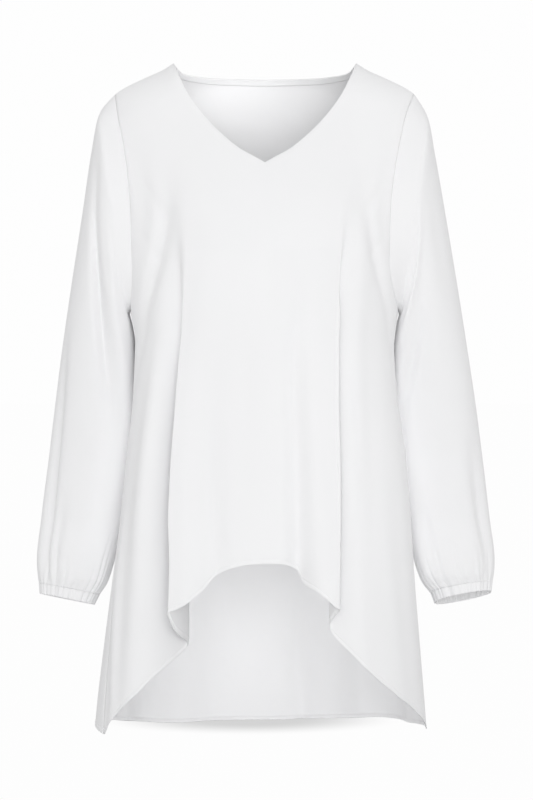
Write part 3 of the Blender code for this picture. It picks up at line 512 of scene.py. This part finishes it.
def armholePath(side, steps=400, topPower=1.5):  # points are closer at the shoulder
    sign, notch = (-1, body["notchLeft"]) if side == "left" else (1, body["notchRight"])
    down = np.linspace(0, 1, steps) ** topPower
    past = 1 - (1 - np.linspace(0, 1, steps)[1:]) ** 2
    path = []
    for isFront in (True, False):
        upper = upperPlace(isFront, np.full(down.shape, sign * notch), down)
        lower = lowerPlace(isFront, sign * (notch + (1 - notch) * past), 0 * past)
        half = [np.concatenate([a, b]) for a, b in zip(upper, lower)]
        path.append(half if isFront else [half[0][::-1][1:], half[1][::-1][1:]])
    angle, z = (np.concatenate([front, back]) for front, back in zip(*path))
    points = bodyPoint(angle, z)
    points[0, 1] = points[-1, 1] = 0
    return np.unwrap(angle), z, points


armholes = {side: armholePath(side) for side in ("left", "right")}


def panelPiece(name, isFront, counts, table):
    inner, outer = counts
    left, right = -body["notchLeft"], body["notchRight"]
    beyond = np.linspace(0, 1, outer + 1)[1:] ** panel["columnPower"]
    half = inner // 2
    across = np.concatenate([
        left - (1 + left) * beyond[::-1], np.linspace(left, 0, half + 1),
        np.linspace(0, right, half + 1)[1:], right + (1 - right) * beyond,
    ])
    isInner = np.abs(np.arange(len(across)) - half - outer) <= half
    upperRows = panel["upperRows"]
    upperDown = np.linspace(0, 1, upperRows + 1)[:-1] ** panel["topPower"]
    hemStart = 1 - panel["hemShare"]
    lowerDown = np.concatenate([
        np.linspace(0, hemStart, panel["lowerRows"] + 1)[:-1],
        np.linspace(hemStart, 1, panel["hemRows"] + 1),
    ])
    places = [upperPlace(isFront, *np.meshgrid(across, upperDown)),
              lowerPlace(isFront, *np.meshgrid(across, lowerDown))]
    angle, z = (np.concatenate(pair) for pair in zip(*places))
    points = bodyPoint(angle, z)
    nearer = np.minimum if isFront else np.maximum  # no further than the shoulder seam
    points[:upperRows, :, 1] = nearer(points[:upperRows, :, 1], 0)
    used = np.ones(points.shape[:2], bool)
    used[:upperRows] = isInner
    flip = not isFront
    normal = gridNormals(points, False, flip)
    sink = np.zeros(angle.shape)
    for side in ("left", "right"):
        gap = distances(points, armholes[side][2])
        sink += panel["seamSink"] * bell(gap / panel["seamWidth"])
    farOff = 1  # where there is no side seam, or no neck or shoulder
    sideGap = along(points, 1)
    sideGap = np.minimum(sideGap, sideGap[:, -1:] - sideGap)
    sideGap[:upperRows] = farOff
    sink += panel["seamSink"] * panel["sideShare"] * bell(sideGap / panel["seamWidth"])
    fromTop = along(points, 0)
    topGap = np.where(isInner, fromTop, farOff)
    onNeck = np.abs(across) / notchReach(across) < body["neckShare"]
    topSink = np.where(onNeck, panel["edgeRoll"], panel["seamSink"] * panel["shoulderShare"])
    sink += topSink * bell(topGap / panel["edgeWidth"])
    fromHem = fromTop[-1:] - fromTop
    turn = panel["hemTurn"]
    sink -= panel["hemSwell"] * eased((turn - fromHem) / panel["hemStep"] + 0.5)
    sink += panel["stitchSink"] * bell((fromHem - turn) / panel["stitchWidth"])
    sink += creases(angle * panel["creaseRadius"], z, table)
    points = points - normal * sink[..., None]
    piece = clothShell(name, points, panel["wall"], flip=flip, used=used)
    return piece, points, normal, fromHem


frontPiece, frontPoints, frontNormals, frontFromHem = panelPiece(
    "frontCloth", True, panel["frontColumns"], frontCreases)
backPiece, backPoints, backNormals, backFromHem = panelPiece(
    "backCloth", False, panel["backColumns"], backCreases)
print("front and back made")


# a ring's outer and inner end, its middle, its reach to the front and how far the front is lifted
ringNames = "outerX outerZ innerX innerZ y depth tilt".split()
sleeve = {
    "columns": 224,
    "rows": 168,
    "rowPower": 1.1,  # rows are closer at the cuff
    "wall": 0.0009,
    "fullness": (0.90, 0.62),  # rings are ovals, squared towards the body: outer side, inner side
    "tuck": 0.0020,  # under the edge of the front and back
    "tuckSink": 0.0010,
    "leaving": 0.012,  # from the armhole to where the sleeve has its own slope
    "pleats": 34,  # around each wrist
    "pleatSeed": 5,
    "pleatDrift": 0.35,  # share of the step between pleats
    "pleatWidths": (2.4, 5.2),  # half width in degrees
    "pleatDepths": (0.0007, 0.0026),
    "pleatReaches": (0.03, 0.17),  # share of the sleeve's length
    "left": [
        (0.2010, -0.0600, 0.1655, -0.3030, 0.004, 0.062, 0.000),
        (0.2110, -0.1050, 0.1665, -0.3070, 0.008, 0.064, 0.000),
        (0.2225, -0.1800, 0.1640, -0.3150, 0.013, 0.063, 0.000),
        (0.2370, -0.2700, 0.1605, -0.3350, 0.021, 0.060, 0.000),
        (0.2500, -0.3550, 0.1580, -0.3740, 0.030, 0.056, 0.002),
        (0.2590, -0.4200, 0.1562, -0.4240, 0.040, 0.054, 0.004),
        (0.2680, -0.4900, 0.1628, -0.4920, 0.047, 0.052, 0.006),
        (0.2760, -0.5550, 0.1725, -0.5560, 0.045, 0.050, 0.008),
        (0.2805, -0.6050, 0.1855, -0.6060, 0.033, 0.047, 0.011),
        (0.2790, -0.6260, 0.1940, -0.6340, 0.027, 0.043, 0.009),
        (0.2775, -0.6350, 0.2035, -0.6490, 0.023, 0.036, 0.007),
    ],
    "right": [
        (0.1975, -0.0640, 0.1640, -0.3030, 0.004, 0.062, 0.000),
        (0.2070, -0.1100, 0.1650, -0.3070, 0.008, 0.064, 0.000),
        (0.2205, -0.1850, 0.1625, -0.3150, 0.013, 0.063, 0.000),
        (0.2362, -0.2750, 0.1598, -0.3350, 0.021, 0.060, 0.000),
        (0.2495, -0.3550, 0.1576, -0.3740, 0.030, 0.056, 0.002),
        (0.2600, -0.4200, 0.1584, -0.4240, 0.040, 0.054, 0.004),
        (0.2695, -0.4900, 0.1640, -0.4920, 0.047, 0.052, 0.006),
        (0.2770, -0.5550, 0.1745, -0.5540, 0.045, 0.050, 0.008),
        (0.2822, -0.6050, 0.1840, -0.6060, 0.033, 0.047, 0.012),
        (0.2812, -0.6260, 0.1930, -0.6320, 0.027, 0.043, 0.014),
        (0.2800, -0.6340, 0.2045, -0.6470, 0.023, 0.036, 0.015),
    ],
    # the cuffs' lower edges
    "leftEnd": (0.2763, -0.6475, 0.2095, -0.6610, 0.020, 0.0345, 0.007),
    "rightEnd": (0.2785, -0.6452, 0.2085, -0.6585, 0.020, 0.0345, 0.015),
    # share of the length, angle (0 outer, 90 front, 180 inner), half width in degrees, depth
    "leftFolds": [columns("share angle width depth", *rows) for rows in (
        ((0.05, 44, 12, 0), (0.12, 56, 12, 0.006), (0.25, 84, 12, 0.013), (0.38, 102, 12, 0.011),
         (0.5, 112, 13, 0.005), (0.66, 118, 14, 0)),
        ((0.36, 27, 11, 0), (0.5, 29, 12, 0.006), (0.65, 30, 12, 0.01), (0.8, 33, 12, 0.013),
         (0.92, 38, 11, 0.0085), (1, 45, 9, 0.003)),
        ((0.74, 62, 8, 0), (0.88, 62, 8, 0.0035), (1, 62, 7, 0.003)),
        ((0.07, 98, 13, 0), (0.15, 108, 14, -0.003), (0.28, 118, 15, -0.0045),
         (0.45, 130, 16, -0.004), (0.7, 132, 18, -0.0025), (0.86, 130, 18, 0)),
        ((0.5, 96, 20, 0), (0.66, 96, 22, -0.003), (0.84, 95, 22, -0.002), (0.97, 95, 20, 0)),
        ((0.08, 250, 18, 0), (0.4, 268, 18, 0.006), (0.78, 285, 18, 0)),
        ((0.42, 321, 15, 0), (0.7, 315, 15, 0.005), (0.99, 310, 15, 0)),
    )],
    "rightFolds": [columns("share angle width depth", *rows) for rows in (
        ((0.03, 80, 12, 0), (0.1, 92, 12, -0.0025), (0.2, 122, 12, -0.004), (0.28, 141, 12, -0.003),
         (0.36, 152, 12, 0)),
        ((0.18, 100, 12, 0), (0.3, 109, 13, 0.0045), (0.42, 126, 13, 0.0055),
         (0.52, 140, 13, 0.004), (0.64, 150, 13, 0)),
        ((0.04, 62, 14, 0), (0.18, 56, 14, 0.0025), (0.36, 48, 14, 0)),
        ((0.6, 42, 13, 0), (0.8, 40, 12, 0.006), (0.99, 38, 10, 0.002)),
        ((0.72, 126, 13, 0), (0.88, 130, 13, 0.0045), (0.99, 133, 11, 0)),
        ((0.1, 270, 18, 0), (0.42, 258, 18, 0.006), (0.76, 245, 18, 0)),
        ((0.38, 314, 15, 0), (0.7, 318, 15, 0.005), (0.99, 322, 15, 0)),
    )],
}


def ringPoints(side, ring, turns):
    ring = dict(zip(ringNames, ring))
    sign = -1 if side == "left" else 1
    outer = np.array([sign * ring["outerX"], ring["y"], ring["outerZ"]])
    inner = np.array([sign * ring["innerX"], ring["y"], ring["innerZ"]])
    forward = np.array([0, -ring["depth"], ring["tilt"] / 2])
    across = np.cos(turns)[:, None]
    outerPower, innerPower = sleeve["fullness"]
    power = (outerPower + innerPower) / 2 + (outerPower - innerPower) / 2 * np.cos(turns)
    ahead = (np.sign(np.sin(turns)) * np.abs(np.sin(turns)) ** power)[:, None]
    return (outer + inner) / 2 + across * (outer - inner) / 2 + ahead * forward


def drawPleats(side):
    draw = np.random.default_rng(sleeve["pleatSeed"] + (side == "right"))
    count = sleeve["pleats"]
    drift = draw.uniform(-sleeve["pleatDrift"], sleeve["pleatDrift"], count)
    middle = (np.arange(count) + drift) * 360 / count
    ranges = [sleeve[name] for name in ("pleatWidths", "pleatDepths", "pleatReaches")]
    return list(zip(middle, *[draw.uniform(*pair, count) for pair in ranges]))


pleats = {side: drawPleats(side) for side in ("left", "right")}


def pleatDepth(side, turns, share):
    depth = np.zeros(np.broadcast(turns, share).shape)
    for middle, width, deep, reach in pleats[side]:
        away = (np.degrees(turns) - middle + 180) % 360 - 180
        depth += deep * eased((share - 1 + reach) / reach) * bell(away / width)
    return depth


def sleeveDepth(side, turns, share):
    turns, share = np.meshgrid(turns, share)
    depth = pleatDepth(side, turns, share)
    for fold in sleeve[side + "Folds"]:
        away = (np.degrees(turns) - read(fold, "angle", share) + 180) % 360 - 180
        depth += read(fold, "depth", share) * bell(away / read(fold, "width", share))
    return depth


def sleevePoints(side, turns, share):
    path = armholes[side][2]
    length = running(path)
    at = turns / (2 * pi) * length[-1]
    start = np.stack([np.interp(at, length, path[:, axis]) for axis in range(3)], axis=-1)
    rings = np.stack([start] + [ringPoints(side, ring, turns) for ring in sleeve[side]])
    middles = rings.mean(axis=1)
    steps = np.linalg.norm(np.diff(rings, axis=0), axis=2).mean(axis=1)
    keys = np.concatenate([[0], np.cumsum(steps)]) / steps.sum()
    points = curve(keys, rings, share)
    radial = points - curve(keys, middles, share)[:, None, :]
    radial /= np.linalg.norm(radial, axis=2, keepdims=True)
    return points - radial * sleeveDepth(side, turns, share)[..., None]


def sleevePiece(side):
    turns = np.arange(sleeve["columns"]) * 2 * pi / sleeve["columns"]
    share = 1 - (1 - np.linspace(0, 1, sleeve["rows"] + 1)) ** sleeve["rowPower"]
    points = sleevePoints(side, turns, share)
    flip = side == "left"
    angle, z, path = armholes[side]
    length = running(path)
    atLoop = [np.interp(turns / (2 * pi) * length[-1], length, values) for values in (angle, z)]
    fromSeam = along(points, 0)[..., None]
    leaving = eased(fromSeam / sleeve["leaving"])
    loopNormal = bodyNormal(*atLoop)
    normal = gridNormals(points, True, flip) * leaving + loopNormal * (1 - leaving)
    points = points - normal * panel["seamSink"] * bell(fromSeam / panel["seamWidth"])
    ahead = np.roll(points[0], -1, axis=0) - np.roll(points[0], 1, axis=0)
    out = np.cross(loopNormal, ahead) * (-1 if flip else 1)
    out /= np.linalg.norm(out, axis=1, keepdims=True)
    # one more row, under the panel's edge
    tucked = points[0] - out * sleeve["tuck"] - loopNormal * sleeve["tuckSink"]
    points = np.concatenate([tucked[None], points])
    name = "sleeve" + side.title() + "Cloth"
    return clothShell(name, points, sleeve["wall"], closed=True, flip=flip)


# gather: share of the sleeve's pleats and folds that the cuff keeps
cuff = {"columns": 320, "rows": 14, "wall": 0.0011, "gather": 0.95}


def cuffPiece(side):
    turns = np.arange(cuff["columns"]) * 2 * pi / cuff["columns"]
    top = sleevePoints(side, turns, np.array([1.0]))[0]
    end = ringPoints(side, sleeve[side + "End"], turns)
    radial = end - end.mean(axis=0)
    radial /= np.linalg.norm(radial, axis=1, keepdims=True)
    end = end - radial * cuff["gather"] * sleeveDepth(side, turns, np.array([1.0]))[0][:, None]
    share = np.linspace(0, 1, cuff["rows"] + 1)[:, None, None]
    points = top + (end - top) * share
    name = "cuff" + side.title() + "Cloth"
    return clothShell(name, points, cuff["wall"], closed=True, flip=side == "left"), points


sleeves = {side: sleevePiece(side) for side in ("left", "right")}
cuffs = {side: cuffPiece(side) for side in ("left", "right")}
print("sleeves and cuffs made")


binding = {
    "columns": 180, "rows": 8, "height": 0.0082, "wall": 0.0008,
    "reach": 0.97,  # share of the neck's width
    "gap": 0.0002, "stitchLift": 0.00012,
}


def bindingPiece():
    x = np.linspace(-1, 1, binding["columns"] + 1) * body["neckHalfWidth"] * binding["reach"]
    z = read(body["backNeck"], "z", np.abs(x))
    offset = (panel["wall"] + binding["wall"]) / 2 + binding["gap"]
    rows = []
    for _ in range(binding["rows"] + 1):
        angle = np.where(x < 0, -pi, pi) - angleAt(x, z)
        points, normal = bodyPoint(angle, z), bodyNormal(angle, z)
        rows.append(points - normal * offset)
        away = np.cross(normal, np.gradient(points, axis=0))
        away /= np.linalg.norm(away, axis=1, keepdims=True)
        place = points + away * binding["height"] / binding["rows"]
        x, z = place[:, 0], place[:, 2]
    rows = np.stack(rows)
    piece = clothShell("backNeckBindingCloth", rows, binding["wall"], flip=True)
    return piece, rows[-2] - normal * (binding["wall"] / 2 + binding["stitchLift"])


bindingCloth, bindingLine = bindingPiece()
print("binding made")


stitch = {
    "pitch": 0.0030, "length": 0.0023, "radius": 0.00024, "casingPitch": 0.0024, "lift": 0.00012,
    "uneven": (0.88, 1.06),  # times the length
    "segments": 6, "rings": 5, "seed": 3,
}
thread = dict(
    crepe, colour=(0.955, 0.955, 0.958), shade=(0.925, 0.925, 0.932), roughness=0.7,
    pitch=0.00025, grain=0.0005, bump=0.00004,
)
threadMaterial = crepeMaterial("polyesterThread", thread, useMap=False)


def stitchGroup():  # a run of stitches along a line of edges
    group = bpy.data.node_groups.new("stitchRun", "GeometryNodeTree")
    face = group.interface
    face.new_socket("Line", in_out="INPUT", socket_type="NodeSocketGeometry")
    sizes = (("Pitch", "Float"), ("Length", "Float"), ("Radius", "Float"), ("Seed", "Int"))
    for name, kind in sizes:
        socket = face.new_socket(name, in_out="INPUT", socket_type="NodeSocket" + kind)
        socket.default_value = stitch[name.lower()]
    face.new_socket("Thread", in_out="INPUT", socket_type="NodeSocketMaterial")
    face.new_socket("Stitches", in_out="OUTPUT", socket_type="NodeSocketGeometry")
    node = group.nodes.new
    entry, leave = node("NodeGroupInput"), node("NodeGroupOutput")
    line, dots = node("GeometryNodeMeshToCurve"), node("GeometryNodeCurveToPoints")
    dots.mode = "LENGTH"
    feed(group, entry.outputs["Line"], line.inputs["Mesh"])
    feed(group, line.outputs["Curve"], dots.inputs["Curve"])
    feed(group, entry.outputs["Pitch"], dots.inputs["Length"])
    bead = node("GeometryNodeMeshUVSphere")
    feed(group, stitch["segments"], bead.inputs["Segments"])
    feed(group, stitch["rings"], bead.inputs["Rings"])
    feed(group, 1, bead.inputs["Radius"])
    uneven = node("FunctionNodeRandomValue")
    uneven.data_type = "FLOAT"
    uneven.inputs[2].default_value, uneven.inputs[3].default_value = stitch["uneven"]
    feed(group, entry.outputs["Seed"], uneven.inputs["Seed"])
    half = mathNode(group, "MULTIPLY", entry.outputs["Length"], 0.5)
    long = mathNode(group, "MULTIPLY", half, uneven.outputs[1])
    size = node("ShaderNodeCombineXYZ")
    for axis, value in zip("XYZ", (entry.outputs["Radius"], entry.outputs["Radius"], long)):
        feed(group, value, size.inputs[axis])
    placed = node("GeometryNodeInstanceOnPoints")
    feed(group, dots.outputs["Points"], placed.inputs["Points"])
    feed(group, bead.outputs["Mesh"], placed.inputs["Instance"])
    feed(group, dots.outputs["Rotation"], placed.inputs["Rotation"])
    feed(group, size.outputs[0], placed.inputs["Scale"])
    real, dyed = node("GeometryNodeRealizeInstances"), node("GeometryNodeSetMaterial")
    feed(group, placed.outputs["Instances"], real.inputs["Geometry"])
    feed(group, real.outputs["Geometry"], dyed.inputs["Geometry"])
    feed(group, entry.outputs["Thread"], dyed.inputs["Material"])
    feed(group, dyed.outputs["Geometry"], leave.inputs["Stitches"])
    return group


stitchNodes = stitchGroup()


def setInput(modifier, name, value):
    socket = next(item for item in modifier.node_group.interface.items_tree
                  if item.name == name and item.in_out == "INPUT")
    modifier[socket.identifier] = value


def stitchPiece(name, lines, pitch=stitch["pitch"], closed=False):
    points, edges = [], []
    for line in lines:
        start, count = len(points), len(line)
        points += line.tolist()
        steps = range(count if closed else count - 1)
        edges += [(start + step, start + (step + 1) % count) for step in steps]
    guide = bpy.data.meshes.new(name + "Guide")
    guide.from_pydata(points, edges, [])
    holder = bpy.data.objects.new(name + "Guide", guide)
    bpy.context.scene.collection.objects.link(holder)
    run = holder.modifiers.new("stitches", "NODES")
    run.node_group = stitchNodes
    setInput(run, "Pitch", pitch)
    setInput(run, "Thread", threadMaterial)
    graph = bpy.context.evaluated_depsgraph_get()
    mesh = bpy.data.meshes.new_from_object(holder.evaluated_get(graph))
    mesh.name = name
    piece = bpy.data.objects.new(name, mesh)
    bpy.context.scene.collection.objects.link(piece)
    bpy.data.objects.remove(holder)
    return piece


def atHeight(points, fromHem, height):  # a line that runs a fixed way above the hem
    return np.array([
        [np.interp(height, above[::-1], places[::-1]) for places in column.T]
        for above, column in zip(fromHem.T, points.transpose(1, 0, 2))
    ])


offCloth = panel["wall"] / 2 + stitch["lift"]
hemStitches = {}
for name, points, normals, fromHem in (("front", frontPoints, frontNormals, frontFromHem),
                                       ("back", backPoints, backNormals, backFromHem)):
    faces = [points + normals * side * offCloth for side in (1, -1)]
    lines = [atHeight(face, fromHem, panel["hemTurn"]) for face in faces]
    hemStitches[name] = stitchPiece(name + "HemStitches", lines)
casingStitches = {}
for side, (piece, points) in cuffs.items():
    middle = points[0].mean(axis=0)
    out = (points[0] - middle) / np.linalg.norm(points[0] - middle, axis=1, keepdims=True)
    line = points[1] + out * (cuff["wall"] / 2 + stitch["lift"])
    casingStitches[side] = stitchPiece(
        "cuff" + side.title() + "Stitches", [line], stitch["casingPitch"], closed=True)
bindingStitches = stitchPiece("bindingStitches", [bindingLine])
print("stitches made")

nodeOf = {
    "front": frontPiece, "back": backPiece, "back_neck_binding": bindingCloth,
    "sleeve_left": sleeves["left"], "sleeve_right": sleeves["right"],
    "cuff_left": cuffs["left"][0], "cuff_right": cuffs["right"][0],
}
for node, piece in nodeOf.items():
    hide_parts(node)
    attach(piece, "root")

sewnOn = {
    "front": hemStitches["front"], "back": hemStitches["back"],
    "back_neck_binding": bindingStitches,
    "cuff_left": casingStitches["left"], "cuff_right": casingStitches["right"],
}
for node, piece in sewnOn.items():
    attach(piece, "root")


studio = {
    "distance": 3.2, "aimX": 0.0018, "aimZ": -0.410, "sensor": 36,
    "imageWidth": 533, "pixel": 0.00122,  # a pixel's real size
    "worldLight": 0.72, "worldSeen": 0.99,
}


def addCamera():
    camera = bpy.data.cameras.new("camera")
    camera.sensor_fit, camera.sensor_width = "HORIZONTAL", studio["sensor"]
    camera.lens = studio["sensor"] * studio["distance"] / (studio["imageWidth"] * studio["pixel"])
    holder = bpy.data.objects.new("camera", camera)
    holder.location = (studio["aimX"], -studio["distance"], studio["aimZ"])
    holder.rotation_euler = (pi / 2, 0, 0)
    bpy.context.scene.collection.objects.link(holder)
    bpy.context.scene.camera = holder


def setWorld():  # one even light, and a paler one for the camera to see
    world = bpy.data.worlds.new("studio")
    world.use_nodes = True
    tree = world.node_tree
    lit, seen = tree.nodes["Background"], tree.nodes.new("ShaderNodeBackground")
    for background, strength in ((lit, studio["worldLight"]), (seen, studio["worldSeen"])):
        feed(tree, (1, 1, 1, 1), background.inputs["Color"])
        feed(tree, strength, background.inputs["Strength"])
    path, mix = tree.nodes.new("ShaderNodeLightPath"), tree.nodes.new("ShaderNodeMixShader")
    sources = (path.outputs["Is Camera Ray"], lit.outputs[0], seen.outputs[0])
    for source, socket in zip(sources, mix.inputs):
        feed(tree, source, socket)
    feed(tree, mix.outputs[0], tree.nodes["World Output"].inputs["Surface"])
    bpy.context.scene.world = world
    bpy.context.scene.view_settings.view_transform = "Standard"


paper = {
    "height": -0.8205, "reach": 300, "grey": 0.80, "roughness": 0.9, "glow": 0.985,
    "shadowMiddle": (-0.02, 0.175), "shadowReach": (0.20, 0.165), "shadowCore": 0.7, "shadow": 0.33,
}


def paperMaterial():  # glows for the camera alone, with a soft round shadow under the hem
    material = bpy.data.materials.new("paperFloor")
    material.use_nodes = True
    tree = material.node_tree
    shader = tree.nodes["Principled BSDF"]
    feed(tree, paper["roughness"], shader.inputs["Roughness"])
    feed(tree, 0, shader.inputs["Specular IOR Level"])
    eye = tree.nodes.new("ShaderNodeLightPath").outputs["Is Camera Ray"]
    bounced = tree.nodes.new("ShaderNodeMix")
    bounced.data_type = "RGBA"
    feed(tree, (paper["grey"],) * 3 + (1,), bounced.inputs["A"])
    feed(tree, (0, 0, 0, 1), bounced.inputs["B"])
    feed(tree, eye, bounced.inputs["Factor"])
    feed(tree, bounced.outputs["Result"], shader.inputs["Base Color"])
    (middleX, middleY), (reachX, reachY) = paper["shadowMiddle"], paper["shadowReach"]
    place, fitted = tree.nodes.new("ShaderNodeTexCoord"), tree.nodes.new("ShaderNodeMapping")
    feed(tree, (-middleX / reachX, -middleY / reachY, -paper["height"]), fitted.inputs["Location"])
    feed(tree, (1 / reachX, 1 / reachY, 1), fitted.inputs["Scale"])
    feed(tree, place.outputs["Object"], fitted.inputs["Vector"])
    ball = tree.nodes.new("ShaderNodeTexGradient")
    ball.gradient_type = "SPHERICAL"
    feed(tree, fitted.outputs["Vector"], ball.inputs["Vector"])
    soft = tree.nodes.new("ShaderNodeMapRange")
    soft.interpolation_type = "SMOOTHSTEP"
    feed(tree, paper["shadowCore"], soft.inputs["From Max"])
    feed(tree, paper["glow"], soft.inputs["To Min"])
    feed(tree, paper["glow"] - paper["shadow"], soft.inputs["To Max"])
    feed(tree, ball.outputs["Fac"], soft.inputs["Value"])
    feed(tree, (1, 1, 1, 1), shader.inputs["Emission Color"])
    feed(tree, mathNode(tree, "MULTIPLY", soft.outputs[0], eye), shader.inputs["Emission Strength"])
    return material


def addFloor():
    size = paper["reach"]
    floor = bpy.data.meshes.new("floor")
    corners = [(-size, -size), (size, -size), (size, size), (-size, size)]
    floor.from_pydata([(x, y, paper["height"]) for x, y in corners], [], [(0, 1, 2, 3)])
    floorObject = bpy.data.objects.new("floor", floor)
    bpy.context.scene.collection.objects.link(floorObject)
    floor.materials.append(paperMaterial())


lamps = [
    dict(name="key", place=(0.15, -3.6, -0.15), aim=(0, 0, -0.40), size=2.2, power=40),
    dict(name="right", place=(3.2, -0.8, -0.10), aim=(0, 0, -0.40), size=2.4, power=3),
    dict(name="left", place=(-3.2, -0.8, -0.10), aim=(0, 0, -0.40), size=2.4, power=1),
    # these stand for light that comes through thin cloth, so each lights its own pieces alone
    dict(name="inside", place=(0, -0.08, -0.69), aim=(0, 0.14, -0.72),
         size=0.32, power=0.208, lit=[backPiece]),
    dict(name="neck", place=(-0.038, -0.01, -0.046), aim=(-0.030, 0.10, -0.046),
         size=0.13, height=0.07, power=0.033, lit=[backPiece, bindingCloth]),
    dict(name="throughLeft", place=(-0.128, 0, -0.470), aim=(-0.20, 0.006, -0.470),
         size=0.020, height=0.37, power=0.038, lit=[sleeves["left"]], bodyPasses=True),
    dict(name="throughRight", place=(0.126, 0, -0.460), aim=(0.20, 0.006, -0.460),
         size=0.020, height=0.37, power=0.028, lit=[sleeves["right"]], bodyPasses=True),
    dict(name="cuff", place=(0.242, 0.010, -0.615), aim=(0.242, 0.035, -0.650),
         size=0.03, power=0.008, lit=[cuffs["right"][0]]),
]


def addLamp(name, place, aim, size, power, height=0, lit=(), bodyPasses=False):
    lamp = bpy.data.lights.new(name, "AREA")
    lamp.shape, lamp.size, lamp.energy = "DISK", size, power
    if height:
        lamp.shape, lamp.size_y = "RECTANGLE", height
    holder = bpy.data.objects.new(name, lamp)
    holder.location = place
    holder.rotation_euler = (Vector(aim) - Vector(place)).to_track_quat("-Z", "Y").to_euler()
    holder.visible_camera = False
    bpy.context.scene.collection.objects.link(holder)
    if lit:
        group = bpy.data.collections.new(name)
        bpy.context.scene.collection.children.link(group)
        for piece in lit:
            group.objects.link(piece)
        holder.light_linking.receiver_collection = group
        if bodyPasses:  # only the lit pieces block this light, so the body lets it through
            holder.light_linking.blocker_collection = group


addCamera()
setWorld()
addFloor()
for lamp in lamps:
    addLamp(**lamp)
print("studio set")
